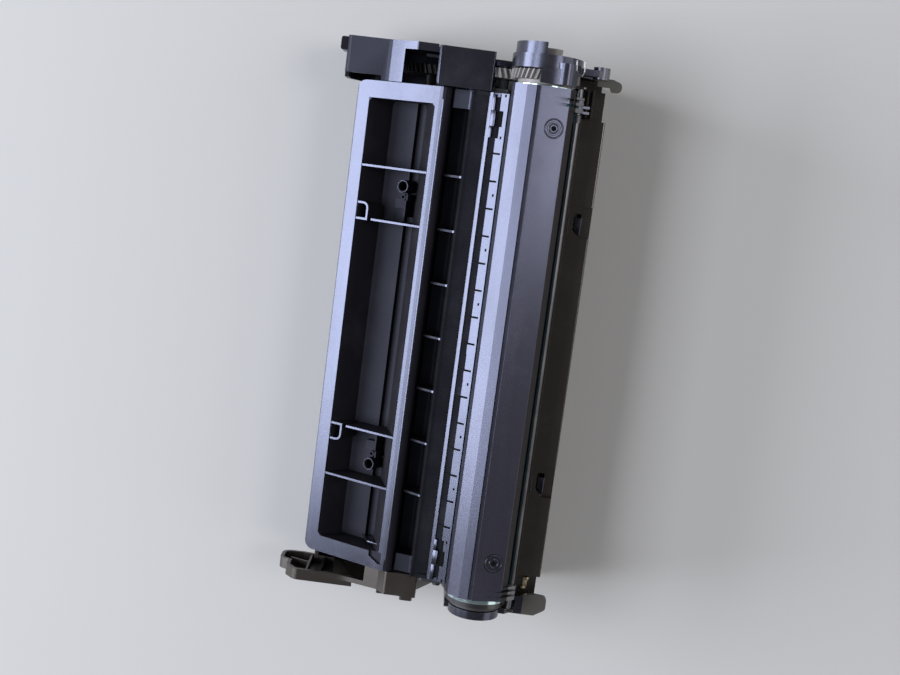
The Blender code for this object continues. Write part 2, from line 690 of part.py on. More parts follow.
def tray_bores(end):
    """Holes in the tray's two posts at one end."""
    tube = (TUBE_POST[0], end * TUBE_POST[1])
    small = (SMALL_POST[0], end * SMALL_POST[1])
    return [
        bar(tube, TUBE_R - TUBE_WALL, LID_TRAY[3][1] + 3.0, TUBE_TOP + CUT, 16, ON_LID),
        bar(small, SMALL_POST_R / 2, LID_TRAY[3][1] + 5.0, SMALL_TOP + CUT, 8, ON_LID),
    ]


def hopper_lid():
    """Lid with a sunk tray, its ribs, tube posts and the wall on the trough's side."""
    foot = (TROUGH_FACE[0] - 1.5, TROUGH_FLOOR - LID_PLATE)
    lid = Solid(prism([
        (*lid_point(LID_LENGTH, 0.0), 0.8), (*lid_point(0.6, 0.0), 3.6), TROUGH_FACE, foot,
        (foot[0] + LID_PLATE, foot[1]), lid_point(3.4, -LID_PLATE), lid_point(LID_LENGTH + 1.2, -LID_PLATE),
    ], -BODY_HALF, BODY_HALF))
    shell = below_rim(grown(on_slope(LID_TRAY), LID_PLATE), -0.4)
    lid.add(prism(shell, -LID_INNER_HALF - LID_PLATE, LID_INNER_HALF + LID_PLATE))
    lid.cut(prism(on_slope(LID_TRAY), -LID_INNER_HALF, LID_INNER_HALF))
    web = below_rim(on_slope(grown(LID_TRAY, 1.0)), -RIM_DROP)
    for end in (-1, 1):
        lid.add(*tray_posts(end))
        lid.cut(*tray_bores(end))
        lid.add(*tray_corners(end))
    for column in (-3, -2, 2, 3):
        middle = column * RIB_PITCH
        lid.add(prism(web, middle - RIB_WIDTH / 2, middle + RIB_WIDTH / 2))
    rib = 2 * RIB_PITCH
    gap = box_outline((RIB_GAP[0], rib - RIB_WIDTH), (RIB_GAP[1], rib + RIB_WIDTH))
    lid.cut(*both_ends(lambda end: prism(mirrored(gap, end), LID_TRAY[1][1] + 0.6, CUT, ON_LID)))
    lid.cut(*both_ends(lambda end: rim_pocket(end, RIM_POCKET_WALL, (RIM_POCKET_FLOOR, CUT))))
    recess = [(along, -LID_INNER_HALF - out) for along, out in TRAY_RECESS]
    lid.cut(prism(recess, -RECESS_DEPTH, CUT, ON_LID))
    lid.cut(*both_ends(lambda end: lid_corner(end, 0.0)))
    lid.finish("hopper_lid", "developer_unit", BLACK)


def frame_section():
    """Section of the developer frame: trough, black band, the two strips and the groove."""
    band, slope, groove, tip = STRIP_Y
    return [
        (tip, STRIP_TOP), (groove, STRIP_TOP - 2.4), (groove, GROOVE_TOP), (slope, GROOVE_TOP - 0.4),
        (slope, STRIP_TOP - 2.8), (band, STRIP_TOP - 4.1), (band, BAND_TOP - 0.8), (0.2, BAND_TOP),
        (0.2, BAND_TOP + 1.9), (1.0, BAND_TOP + 1.9), (TROUGH_Y[0] - 0.4, TROUGH_FLOOR + 1.6),
        (TROUGH_Y[0], TROUGH_FLOOR + 0.4), (TROUGH_Y[1], TROUGH_FLOOR), (TROUGH_Y[1], TROUGH_FLOOR - WALL),
        (TROUGH_Y[0] - 2.2, TROUGH_FLOOR - WALL + 0.4), (-0.9, BAND_TOP - 3.0), (band, BAND_TOP - 1.6),
        (slope, GROOVE_TOP - 1.4), (groove, GROOVE_TOP - 0.9), (tip, STRIP_TOP - 1.4),
    ]


def strip_ends(end):
    """What is added to the low strip and cut from the high one near one end, as two lists."""
    slope, groove = STRIP_Y[1], STRIP_Y[2]
    added = []
    removed = []
    for near, far, low_edge, high_edge in STRIP_STEPS:
        reach = span(end, BODY_HALF - far, BODY_HALF - near)
        floor = GROOVE_TOP + 0.1
        top = STRIP_TOP - 2.8
        added.append(prism([(slope + 0.2, top - 0.2), (low_edge, top + 0.2), (low_edge, top - 1.2),
                            (slope + 0.2, top - 1.2)], *reach))
        removed.append(prism([(groove + 0.1, floor), (groove + 0.1, STRIP_TOP), (high_edge, STRIP_TOP + 1.0),
                              (high_edge, floor + STRIP_LEAN * (groove - high_edge))], *reach))
    return added, removed


def developer_frame():
    """Moulding over the developer roller, with the paper guide strips, ticks and trough."""
    slope, groove, tip = STRIP_Y[1:]
    end_near = BODY_HALF - 1.8
    frame = Solid(prism(frame_section(), -BODY_HALF, BODY_HALF))
    foot = SLIT_WALL_TOP + GAP
    cheek = [
        (tip + 0.8, STRIP_TOP - 1.0), (slope, STRIP_TOP - 3.8), (0.6, BAND_TOP), (TROUGH_Y[0], TROUGH_FLOOR),
        (TROUGH_Y[1], TROUGH_FLOOR), (TROUGH_Y[1], foot), (SLIT_WALL_Y, foot),
        (ROLLER_AT[0] - COLLAR_R, ROLLER_AT[1] - 2.0, 2.0),
    ]
    block = [(1.4, BAND_TOP - 5.0), (TROUGH_Y[0], TROUGH_FLOOR), (TROUGH_Y[1], TROUGH_FLOOR),
             (TROUGH_Y[1] + 0.8, BAND_TOP - 7.0)]
    frame.add(*both_ends(lambda end: prism(cheek, *span(end, end_near, BODY_HALF))))
    frame.add(*both_ends(lambda end: prism(block, *span(end, LID_INNER_HALF - 0.6, BODY_HALF))))
    rib = [(0.9, BAND_TOP), (TROUGH_Y[0] - 0.8, TROUGH_FLOOR - 0.6), (TROUGH_Y[1], TROUGH_FLOOR - 0.6),
           (TROUGH_Y[1] + 1.2, BAND_TOP - 7.0)]
    for column in range(-3, 4):
        middle = column * RIB_PITCH
        frame.add(prism(rib, middle - RIB_WIDTH / 2, middle + RIB_WIDTH / 2))
    bridge = [(slope + 0.1, GROOVE_TOP - 0.8), (slope + 0.1, GROOVE_TOP + 0.2), (groove - 0.1, GROOVE_TOP + 0.5),
              (groove - 0.1, GROOVE_TOP - 0.5)]
    tick = [(groove + 0.3, GROOVE_TOP + 0.2), (groove + 0.3, STRIP_TOP), (TICK_END, STRIP_TOP + 1.0),
            (TICK_END, STRIP_TOP - 1.4)]
    bridges = []
    ticks = []
    for column in range(TICKS):
        middle = (column - (TICKS - 1) / 2) * TICK_PITCH
        bridges.append(prism(bridge, middle - TICK_WIDTH / 2, middle + TICK_WIDTH / 2))
        ticks.append(prism(tick, middle - TICK_WIDTH / 2, middle + TICK_WIDTH / 2))
    frame.add(*bridges)
    frame.cut(*ticks)
    for end in (-1, 1):
        added, removed = strip_ends(end)
        frame.add(*added)
        frame.cut(*removed)
    frame.cut(*both_ends(lambda end: bar(ROLLER_AT, BEARING_R + PLAY, *span(end, end_near - CUT, BODY_HALF + CUT))))
    frame.finish("developer_frame", "developer_unit", GLOSS_BLACK)


def metering_blade():
    """Steel bracket on the slit's wall with the thin blade that touches the roller, and its screws."""
    half = BODY_HALF - 4.0
    seat = SLIT_WALL_TOP + GAP
    top = seat + BRACKET
    outer = SLIT_WALL_Y - GAP
    bracket = Solid(prism([
        (outer - BRACKET, BRACKET_FOOT), (outer, BRACKET_FOOT), (outer, seat), (BRACKET_REACH, seat),
        (BRACKET_REACH, top), (outer - BRACKET, top),
    ], -half, half))
    hole = SCREW_R + PLAY
    sunk = outer - BRACKET + SCREW_SINK
    for x in BLADE_SCREWS_X:
        bracket.cut(bar((x, BLADE_SCREW_Z), hole, outer - 3, outer + CUT, 12, ALONG_Y))
        bracket.cut(bar((x, BLADE_SCREW_Z), SCREW_HEAD_R + PLAY, outer - 3, sunk, 12, ALONG_Y))
    bracket.finish("metering_blade_bracket", "developer_unit", ZINC)
    near = ROLLER_AT[0]
    blade = Solid(prism([
        (BRACKET_REACH - 1.0, top + GAP), (BRACKET_REACH - 1.0, top + GAP + 0.7), (near + 4.0, BLADE_TOP + 0.1),
        (near - 1.6, BLADE_TOP + 0.5), (near - 1.8, BLADE_TOP - 0.3), (near + 2.4, top + GAP),
    ], -ROLLER_HALF, ROLLER_HALF))
    blade.finish("metering_blade", "developer_unit", BLADE_RUBBER)
    for x, place in zip(BLADE_SCREWS_X, ("contact", "middle", "drive")):
        tip = SLIT_WALL_Y + WALL - BLIND - 0.2
        screw("blade_screw_" + place, "developer_unit", (x, BLADE_SCREW_Z), tip, sunk - GAP, ALONG_Y)


def tooth_outline(teeth, phase, thinner=0.02):
    """Outline of a gear with straight-sided teeth that lie inside the involute."""
    pitch_r = MODULE * teeth / 2
    tip_r = pitch_r + MODULE
    root_r = pitch_r - 1.25 * MODULE
    base_r = pitch_r * math.cos(math.radians(PRESSURE))
    pressure = math.radians(PRESSURE)
    base_half = math.pi / (2 * teeth) + math.tan(pressure) - pressure - thinner / pitch_r
    tip_angle = math.acos(base_r / tip_r)
    tip_half = base_half - (math.tan(tip_angle) - tip_angle)
    outline = []
    for tooth in range(teeth):
        middle = math.radians(phase) + 2 * math.pi * tooth / teeth
        for radius, offset in ((root_r, -base_half), (tip_r, -tip_half), (tip_r, tip_half), (root_r, base_half)):
            outline.append((radius, math.degrees(middle + offset)))
    return outline


def meshed(phase, teeth, next_teeth, direction):
    """Phase of the next gear, whose gap meets this gear's tooth."""
    return direction + 180 - (phase - direction) * teeth / next_teeth + 180 / next_teeth


def gear(centre, teeth, phase, hand):
    """A helical gear wheel between the two faces of the gear train."""
    twist = math.degrees(math.tan(math.radians(HELIX_ANGLE)) * (GEAR_X[1] - GEAR_X[0]) / (MODULE * teeth / 2))
    sections = []
    for depth, turn in ((GEAR_X[0], 0.0), (GEAR_X[1], hand * twist)):
        outline = [polar(centre, radius, angle + turn) for radius, angle in tooth_outline(teeth, phase)]
        sections.append((depth, outline))
    return loft(sections)


DRUM_PHASE = ROLLER_ANGLE
ROLLER_PHASE = meshed(DRUM_PHASE, DRUM_TEETH, ROLLER_TEETH, ROLLER_ANGLE)
IDLER_PHASE = meshed(ROLLER_PHASE, ROLLER_TEETH, IDLER_TEETH, IDLER_ANGLE)
AGITATOR_PHASE = meshed(IDLER_PHASE, IDLER_TEETH, AGITATOR_TEETH, AGITATOR_ANGLE)


def developer_roller():
    """Sleeve with its shaft ends, gear, spacer collars and the fixed magnet core inside."""
    inner = ROLLER_R - ROLLER_WALL
    bore = CORE_PIN_R + PLAY
    shaft = ROLLER_SHAFT_R
    sleeve = Solid(turned(ROLLER_AT, [
        (-BODY_HALF - 3.0, bore), (-BODY_HALF - 3.0, shaft), (-ROLLER_HALF, shaft), (-ROLLER_HALF, ROLLER_R),
        (ROLLER_HALF, ROLLER_R), (ROLLER_HALF, shaft), (GEAR_X[1] + GAP, shaft), (GEAR_X[1] + GAP, 0.0),
        (ROLLER_HALF + 2.0, 0.0), (ROLLER_HALF + 2.0, bore), (ROLLER_HALF - 2.0, bore),
        (ROLLER_HALF - 2.0, inner), (2.0 - ROLLER_HALF, inner), (2.0 - ROLLER_HALF, bore),
    ], 32))
    sleeve.finish("developer_sleeve", "developer_roller", RUBBER)
    wheel = Solid(gear(ROLLER_AT, ROLLER_TEETH, ROLLER_PHASE, -1))
    wheel.cut(bar(ROLLER_AT, shaft + PLAY, GEAR_X[0] - 1, GEAR_X[1] + 1, 32))
    wheel.finish("developer_gear", "developer_roller", BROWN_PLASTIC)
    near = ROLLER_HALF + GAP
    for end, name in ((1, "spacer_collar_drive"), (-1, "spacer_collar_contact")):
        low, high = span(end, near, near + COLLAR_WIDTH)
        collar = Solid(turned(ROLLER_AT, [(low, shaft + PLAY), (low, COLLAR_R), (high, COLLAR_R),
                                          (high, shaft + PLAY)], 32))
        collar.finish(name, "developer_roller", PALE_PLASTIC)
    core = Solid(turned(ROLLER_AT, [
        (-BODY_HALF - 5.0, 0.0), (-BODY_HALF - 5.0, CORE_PIN_R), (-CORE_HALF, CORE_PIN_R),
        (-CORE_HALF, CORE_R), (CORE_HALF, CORE_R), (CORE_HALF, CORE_PIN_R),
        (ROLLER_HALF + 1.0, CORE_PIN_R), (ROLLER_HALF + 1.0, 0.0),
    ], 32))
    core.finish("magnet_core", "developer_unit", GREY_BLACK)
    for end, name in ((1, "roller_bearing_drive"), (-1, "roller_bearing_contact")):
        bearing = Solid(bar(ROLLER_AT, BEARING_R, *span(end, BODY_HALF - 1.6, BODY_HALF + 0.4), 24))
        plate = shifted(BEARING_PLATE, ROLLER_AT)
        bearing.add(prism(plate, *span(end, BODY_HALF + GAP, BODY_HALF + 2.4)))
        bearing.cut(bar(ROLLER_AT, shaft + PLAY, *span(end, BODY_HALF - 3, BODY_HALF + 4), 32))
        bearing.finish(name, "developer_unit", PALE_PLASTIC)


def stirrer():
    """Shaft in the hopper with its film blade, its gear and the idler gear."""
    half = AGITATOR_HALF
    y, z = AGITATOR_AT
    shaft = Solid(bar(AGITATOR_AT, AGITATOR_SHAFT_R, 0.4 - BODY_HALF, GEAR_X[1] + 1.0))
    shaft.cut(box((-half, half), (y - 4, y + 4), (z + AGITATOR_SEAT, z + 4)))
    shaft.finish("agitator_shaft", "agitator", GREY_BLACK)
    low = z + AGITATOR_SEAT + GAP
    blade = Solid(box((1.0 - half, half - 1.0), (y - 1.8, y + AGITATOR_SWEEP), (low, low + AGITATOR_BLADE)))
    windows = []
    for column in range(-3, 4):
        middle = column * RIB_PITCH
        windows.append(box((middle - 8, middle + 8), (y + 2.6, y + 7.6), (low - CUT, low + AGITATOR_BLADE + CUT)))
    blade.cut(*windows)
    blade.finish("agitator_blade", "agitator", FILM)
    wheel = Solid(gear(AGITATOR_AT, AGITATOR_TEETH, AGITATOR_PHASE, -1))
    wheel.cut(bar(AGITATOR_AT, AGITATOR_SHAFT_R + PLAY, GEAR_X[0] - CUT, GEAR_X[1] + CUT))
    wheel.finish("agitator_gear", "agitator", WHITE_PLASTIC)
    idler = Solid(gear(IDLER_AT, IDLER_TEETH, IDLER_PHASE, 1))
    idler.cut(bar(IDLER_AT, UNIT_PIN_R + PLAY, GEAR_X[0] - CUT, GEAR_X[1] + CUT))
    idler.finish("idler_gear", "idler", WHITE_PLASTIC)


def coupling_outline(turn):
    """Three soft lobes round the drum's axis."""
    lobes = []
    for step in range(30):
        angle = 360 * step / 30
        lobes.append(polar(DRUM_AT, COUPLING_R * (1 + 0.12 * math.cos(math.radians(3 * angle))), angle + turn))
    return lobes


def drum():
    """Coated tube, geared flange with its coupling, and plain hub."""
    inner = DRUM_R - DRUM_WALL
    tube = Solid(turned(DRUM_AT, [(-DRUM_HALF, inner), (-DRUM_HALF, DRUM_R), (DRUM_HALF, DRUM_R),
                                  (DRUM_HALF, inner)], 48))
    tube.finish("drum_tube", "drum", DRUM_COAT)
    plug = inner - PLAY
    root = DRUM_HALF - PLUG_LENGTH
    neck = DRUM_HALF + 0.2
    journal = DRUM_PLATE_X[1] + 0.4
    flange = Solid(turned(DRUM_AT, [
        (root, 0.0), (root, plug), (neck, plug), (neck, NECK_R), (GEAR_X[0] + 0.5, NECK_R),
        (GEAR_X[0] + 0.5, RIM_R), (GEAR_X[1] - 0.5, RIM_R), (GEAR_X[1] - 0.5, JOURNAL_R),
        (journal, JOURNAL_R), (journal, 0.0),
    ], 40))
    flange.add(gear(DRUM_AT, DRUM_TEETH, DRUM_PHASE, 1))
    flange.add(loft([(DRUM_PLATE_X[1] - 1.0, coupling_outline(0.0)), (COUPLING_TOP, coupling_outline(20.0))]))
    flange.finish("drum_gear_flange", "drum", BROWN_PLASTIC)
    bore = DRUM_PIN_R + PLAY
    hub = Solid(turned(DRUM_AT, [
        (-root, bore), (-root, plug), (-neck, plug), (-neck, NECK_R), (HUB_END, NECK_R), (HUB_END, bore),
    ], 32))
    hub.finish("drum_hub", "drum", GREY_BLACK)


def charge_roller():
    """Steel shaft with its rubber sleeve, and the saddles it turns in."""
    shaft = Solid(bar(CHARGE_AT, CHARGE_SHAFT_R, -CHARGE_SHAFT_HALF, CHARGE_SHAFT_HALF, 20))
    shaft.finish("charge_roller_shaft", "charge_roller", STEEL)
    bore = CHARGE_SHAFT_R + PLAY
    sleeve = Solid(turned(CHARGE_AT, [(-CHARGE_HALF, bore), (-CHARGE_HALF, CHARGE_R), (CHARGE_HALF, CHARGE_R),
                                      (CHARGE_HALF, bore)], 24))
    sleeve.finish("charge_roller_sleeve", "charge_roller", RUBBER)
    y, z = CHARGE_AT
    outline = [
        (y - SADDLE_HALF, SHELF_TOP + GAP), (y + SADDLE_HALF, SHELF_TOP + GAP), (y + SADDLE_HALF, z + 1.5, 1.0),
        (y + 2.6, z + 3.4), (y - 2.6, z + 3.4), (y - SADDLE_HALF, z + 1.5, 1.0),
    ]
    for end, name in ((1, "charge_saddle_drive"), (-1, "charge_saddle_contact")):
        low, high = span(end, *SADDLE_X)
        saddle = Solid(prism(outline, low, high))
        saddle.cut(bar(CHARGE_AT, bore, low - CUT, high + CUT, 20))
        saddle.cut(box((low - CUT, high + CUT), (y - SADDLE_SLOT, y + SADDLE_SLOT), (z + 1, z + 6)))
        saddle.finish(name, "drum_unit", PALE_PLASTIC)


def bin_section():
    """Outside of the waste bin, from the lip round the label side to the shelf."""
    inner = LIP_Y[1] - 1.1
    return [
        (LIP_Y[1], LIP_TOP), (LIP_Y[0], LIP_TOP), (LIP_Y[0], FIN_TOP), (FIN_EDGE_Y, FIN_TOP, 0.8),
        (FIN_EDGE_Y, FIN_TOP - 3.0), (FIN_EDGE_Y + 1.4, FIN_TOP - 5.0), *BIN_FOOT, (-34.0, SHELF_TOP),
        (SHELF_WALL_Y[0], SHELF_TOP), (SHELF_WALL_Y[0], BRACKET_SEAT), (inner, BRACKET_SEAT + 2.6),
        (inner, LIP_TOP - 2.2), (LIP_Y[1], LIP_TOP - 1.6),
    ]


def bin_chamber():
    """Inside of the waste bin, with its mouth beside the cleaning blade."""
    mouth = LIP_Y[1] - 0.8
    far = FIN_EDGE_Y + 3.6
    return [
        (mouth, BRACKET_SEAT), (mouth, FIN_TOP - BIN_WALL), (far, FIN_TOP - BIN_WALL), (far, FIN_TOP - 6.0),
        *BIN_FOOT_INSIDE, (-35.9, SHELF_TOP - BIN_WALL), (SHELF_WALL_Y[1], SHELF_TOP - BIN_WALL),
        (SHELF_WALL_Y[1], BRACKET_SEAT),
    ]


def bin_body():
    """The whole waste bin before it is split into frame and cover."""
    body = Solid(prism(bin_section(), -BIN_HALF, BIN_HALF))
    inner_half = FIN_HALF - END_WALL
    body.cut(prism(bin_chamber(), -inner_half, inner_half))
    across = (FIN_EDGE_Y - CUT, LIP_Y[1] + CUT)
    body.cut(*both_ends(lambda end: box(span(end, FIN_HALF, BIN_HALF + CUT), across,
                                        (BRACKET_SEAT - 1.0, LIP_TOP + CUT))))
    return body


def notch_shapes(end):
    """The block under the fin's notch at one end, the notch and its deep middle."""
    middle = end * NOTCH_X
    half = NOTCH_HALF
    narrow = half - NOTCH_SLANT
    wide, deep = NOTCH_Y
    outer = FIN_EDGE_Y - CUT
    block = box((middle - half - NOTCH_BLOCK, middle + half + NOTCH_BLOCK), (FIN_EDGE_Y + 3.0, deep + NOTCH_BLOCK),
                (FIN_TOP - NOTCH_FLOOR - 1.5, FIN_TOP - 1.0))
    notch = prism([
        (middle - half, outer), (middle + half, outer), (middle + half, wide), (middle + narrow, deep),
        (middle - narrow, deep), (middle - half, wide),
    ], FIN_TOP - NOTCH_DEPTH, FIN_TOP + CUT, ALONG_Z)
    pit = prism([
        (wide, FIN_TOP - NOTCH_DEPTH), (wide + 1.8, FIN_TOP - NOTCH_FLOOR), (deep, FIN_TOP - NOTCH_FLOOR),
        (deep, FIN_TOP + CUT), (wide, FIN_TOP + CUT),
    ], middle - narrow, middle + narrow)
    return block, notch, pit


def waste_bin():
    """Bin that holds the waste toner, the charge roller's shelf, the fin and the rod's posts."""
    wide = (-BIN_HALF - 2, BIN_HALF + 2)
    across = (FIN_EDGE_Y - 2, 0.0)
    frame = bin_body()
    frame.cut(box(wide, across, (-CUT, BIN_SPLIT + GAP)))
    for end in (-1, 1):
        block, notch, pit = notch_shapes(end)
        frame.add(block)
        frame.cut(notch, pit)
    frame.add(*both_ends(lambda end: prism(POST, *span(end, BIN_HALF - POST_WIDTH, BIN_HALF))))
    frame.add(prism(LEG, BIN_HALF - 1.0, DRUM_PLATE_X[0] - GAP))
    frame.add(prism(LEG, CONTACT_PLATE_X[1] + GAP, 1.0 - BIN_HALF))
    ribs_z = (BRACKET_SEAT - 2.0, END_RIBS_TOP)
    frame.add(*[box((FIN_HALF + 1.0, BIN_HALF), across_rib, ribs_z) for across_rib in END_RIBS_Y])
    frame.cut(bar(ROD_AT, ROD_R + PLAY, -BIN_HALF - CUT, BIN_HALF + CUT, 12))
    frame.finish("waste_bin", "drum_unit", BLACK)
    cover = bin_body()
    cover.cut(box(wide, across, (BIN_SPLIT, LIP_TOP + 2)))
    cover.finish("waste_bin_cover", "drum_unit", BLACK)


def cleaning_blade():
    """Steel bracket on the bin's inner wall with the rubber blade that touches the drum."""
    seat = BRACKET_SEAT + GAP
    half = FIN_HALF - END_WALL - 0.6
    bracket = Solid(box((-half, half), (SHELF_WALL_Y[1] - 0.4, LIP_Y[1] - 1.4), (seat, seat + 1.4)))
    bracket.finish("cleaning_blade_bracket", "drum_unit", ZINC)
    tip = polar(DRUM_AT, DRUM_R + GAP, BLADE_ANGLE)
    root = LIP_Y[1] - 1.1
    blade = Solid(prism([
        (root, seat), (LIP_Y[1] + 0.2, seat + 0.3), tip, (tip[0] - 0.8, tip[1] + 0.4),
        (LIP_Y[1] - 0.4, seat + 3.0), (root, seat + 1.4),
    ], -half, half))
    blade.finish("cleaning_blade", "drum_unit", BLADE_RUBBER)


def shutter_inside():
    """Inner side of the shutter's sheet, from the rod's side back."""
    centre = Vector(DRUM_AT)
    inside = []
    for point in SHUTTER_TOP:
        outwards = (Vector(point) - centre).normalized()
        inside.append(tuple(Vector(point) - outwards * SHUTTER_WALL))
    return inside[::-1]


def drum_shutter():
    """Sheet that covers the drum, with a grooved arm at each end that turns on the rod."""
    shutter = Solid(prism(SHUTTER_TOP + shutter_inside(), *SHUTTER_X))
    knuckle = circle(ROD_AT, KNUCKLE_R, 16)
    for low in ARM_LOW_X:
        shutter.add(prism(ARM_OUTLINE, low, low + ARM_WIDTH))
        grooves = []
        for step in (1, 2):
            start = low + step * (ARM_WIDTH - GROOVE_WIDTH) / 3 + (step - 1) * GROOVE_WIDTH / 2
            grooves.append(prism(GROOVE_OUTLINE, start, start + GROOVE_WIDTH))
        shutter.cut(*grooves)
        shutter.add(prism(knuckle, low, low + ARM_WIDTH))
    spring_low, spring_high = spring_span()
    shutter.add(*[prism(PRONG_OUTLINE, ARM_LOW_X[1] + start, ARM_LOW_X[1] + start + 1.1) for start in (0.0, 2.4)])
    shutter.cut(bar(ROD_AT, ROD_R + PLAY, SHUTTER_X[0] - CUT, SHUTTER_X[1] + CUT, 12))
    shutter.finish("drum_shutter", "shutter", BLACK)
    rod = Solid(bar(ROD_AT, ROD_R, 0.2 - BIN_HALF, BIN_HALF - 0.2, 12))
    rod.finish("shutter_rod", "drum_unit", STEEL)
    spring = Solid(coil(ROD_AT, SPRING_R, SPRING_WIRE_R, spring_low, spring_high, SPRING_TURNS))
    spring.finish("shutter_spring", "drum_unit", SPRING_WIRE)


def spring_span():
    """Where the shutter's spring starts and ends on the rod, beside the drive side arm."""
    end = ARM_LOW_X[1] - GAP - SPRING_WIRE_R
    return end - SPRING_TURNS * 3 * SPRING_WIRE_R, end


def from_plane(outline, plane):
    """An (x, y) outline whose first numbers are measured from the plane at that x."""
    return shifted(outline, (plane, 0.0))


def drum_plates():
    """End plates that carry the drum, and the steel pin at the contact end."""
    low, high = DRUM_PLATE_X
    inner, outer = GUARD_R
    first, last = GUARD_ANGLES
    angles = [first + (last - first) * step / 6 for step in range(7)]
    arc = [polar(DRUM_AT, outer, angle) for angle in angles] + [polar(DRUM_AT, inner, angle) for angle in angles[::-1]]
    drive = Solid(bar(HORN_AT, HORN_R[1], *HORN_X))
    drive.cut(bar(HORN_AT, HORN_R[0], HORN_X[0] - CUT, HORN_X[1] + CUT))
    drive.cut(bar(DRUM_AT, inner, HORN_X[0] - CUT, low - GAP / 2, 32))
    drive.add(prism(arc, GUARD_X[0], GUARD_X[1] + 0.5))
    drive.add(prism(PLATE_OUTLINE, low, high))
    drive.add(bar(DRUM_AT, RING_R, low, RING_TOP, 32))
    drive.add(bar(DRUM_AT, RING_R - 1.2, low, BOSS_TOP, 32))
    drive.add(prism(stadium(GUIDE_ROOT, GUIDE_AT, GUIDE_R), low, high), bar(GUIDE_AT, GUIDE_R, *GUIDE_X))
    drive.cut(bar(DRUM_AT, RING_R - 4.4, high, BOSS_TOP + CUT, 32))
    drive.cut(bar(DRUM_AT, JOURNAL_R + PLAY, low - CUT, high + CUT, 32))
    half_ring = (DRUM_AT[0] - RING_R - CUT, DRUM_AT[0] + 1.5)
    drive.cut(box((RING_TOP, BOSS_TOP + CUT), half_ring, (40.0, 90.0)))
    drive.add(prism(from_plane(FLAG, low), *FLAG_Z, ALONG_Z))
    drive.cut(bar(PIVOT_AT, UNIT_PIN_R + PLAY, low - CUT, high + CUT, 16))
    drive.finish("drum_plate_drive", "drum_unit", BLACK)
    low, high = CONTACT_PLATE_X
    contact = Solid(prism(PLATE_OUTLINE, low, high))
    contact.add(bar(DRUM_AT, CONTACT_DISC_R, low, high + 1.0, 32))
    contact.add(prism(from_plane(TAB, low), *TAB_Z, ALONG_Z))
    contact.cut(bar(DRUM_AT, DRUM_PIN_R + PLAY, low - CUT, high + 3, 16))
    contact.cut(bar(PIVOT_AT, UNIT_PIN_R + PLAY, low - CUT, high + CUT, 16))
    contact.finish("drum_plate_contact", "drum_unit", BLACK)
    pin = Solid(bar(DRUM_AT, DRUM_PIN_R, low - 0.6, PLUG_LENGTH - DRUM_HALF - 1.0, 16))
    pin.finish("drum_pin", "drum_unit", STEEL)


def unit_eye():
    """Outline of a cover's eye round the unit pin."""
    return [(EYE_ROOT_Y, EYE_Z[0]), (EYE_ROOT_Y, EYE_Z[1]), *EYE]


def drive_end_cover():
    """Cover over the gear train, with the window on its sloping side and the unit pin's eye."""
    low, high = DRIVE_COVER_X
    cover = Solid(prism(DRIVE_COVER_OUTLINE, low, high))
    cover.cut(prism(grown(DRIVE_COVER_OUTLINE, -COVER_WALL), low - CUT, high - COVER_PLATE))
    cover.cut(box((low - CUT, WINDOW_X), WINDOW_Y, WINDOW_Z))
    cover.cut(prism(corner_waste((low, SLAB_Y[1]), (1, -1), SLAB_CORNER), WINDOW_Z[0] + 8.6, SLAB_Z + CUT, ALONG_Z))
    cover.cut(box((low - CUT, low + LEDGE_WIDTH), LEDGE_Y, LEDGE_Z))
    cover.cut(box((SLAB_TOP_X, high + CUT), (-20.0, SLAB_Y[1] + CUT), (0.0, 70.0)))
    cover.cut(box((low - CUT, high + CUT), ROLLER_BAY_Y, (ROLLER_BAY_Z, SLAB_Z - COVER_WALL)))
    teeth_r = MODULE * (ROLLER_TEETH / 2 + 1) + GAP
    cover.cut(bar(ROLLER_AT, teeth_r, GEAR_X[0] - 0.6, GEAR_X[1] + 0.6, 24))
    cover.add(prism(unit_eye(), DRUM_PLATE_X[1] + GAP, SLAB_TOP_X))
    cover.add(bar(IDLER_AT, UNIT_PIN_R, GEAR_X[0] - 1.0, SLAB_TOP_X - 1.0, 16))
    cover.add(*[bar(at, SCREW_BOSS_R, low, high - COVER_PLATE + 0.5, 16) for at in DRIVE_SCREWS])
    cover.add(prism(from_plane(NIB, high), *NIB_Z, ALONG_Z), prism(from_plane(STOP, high), *STOP_Z, ALONG_Z))
    cover.cut(bar(PIVOT_AT, UNIT_PIN_R + PLAY, DRUM_PLATE_X[0], high + CUT, 16))
    cover.cut(*[bar(at, SCREW_R + PLAY, low - CUT, high + CUT, 12) for at in DRIVE_SCREWS])
    cover.finish("drive_end_cover", "developer_unit", BLACK)
    tip = BODY_HALF - END_WALL + BLIND + 0.2
    for at, face, place in zip(DRIVE_SCREWS, (high, SLAB_TOP_X), ("far", "near")):
        screw("drive_cover_screw_" + place, "developer_unit", at, tip, face + GAP)


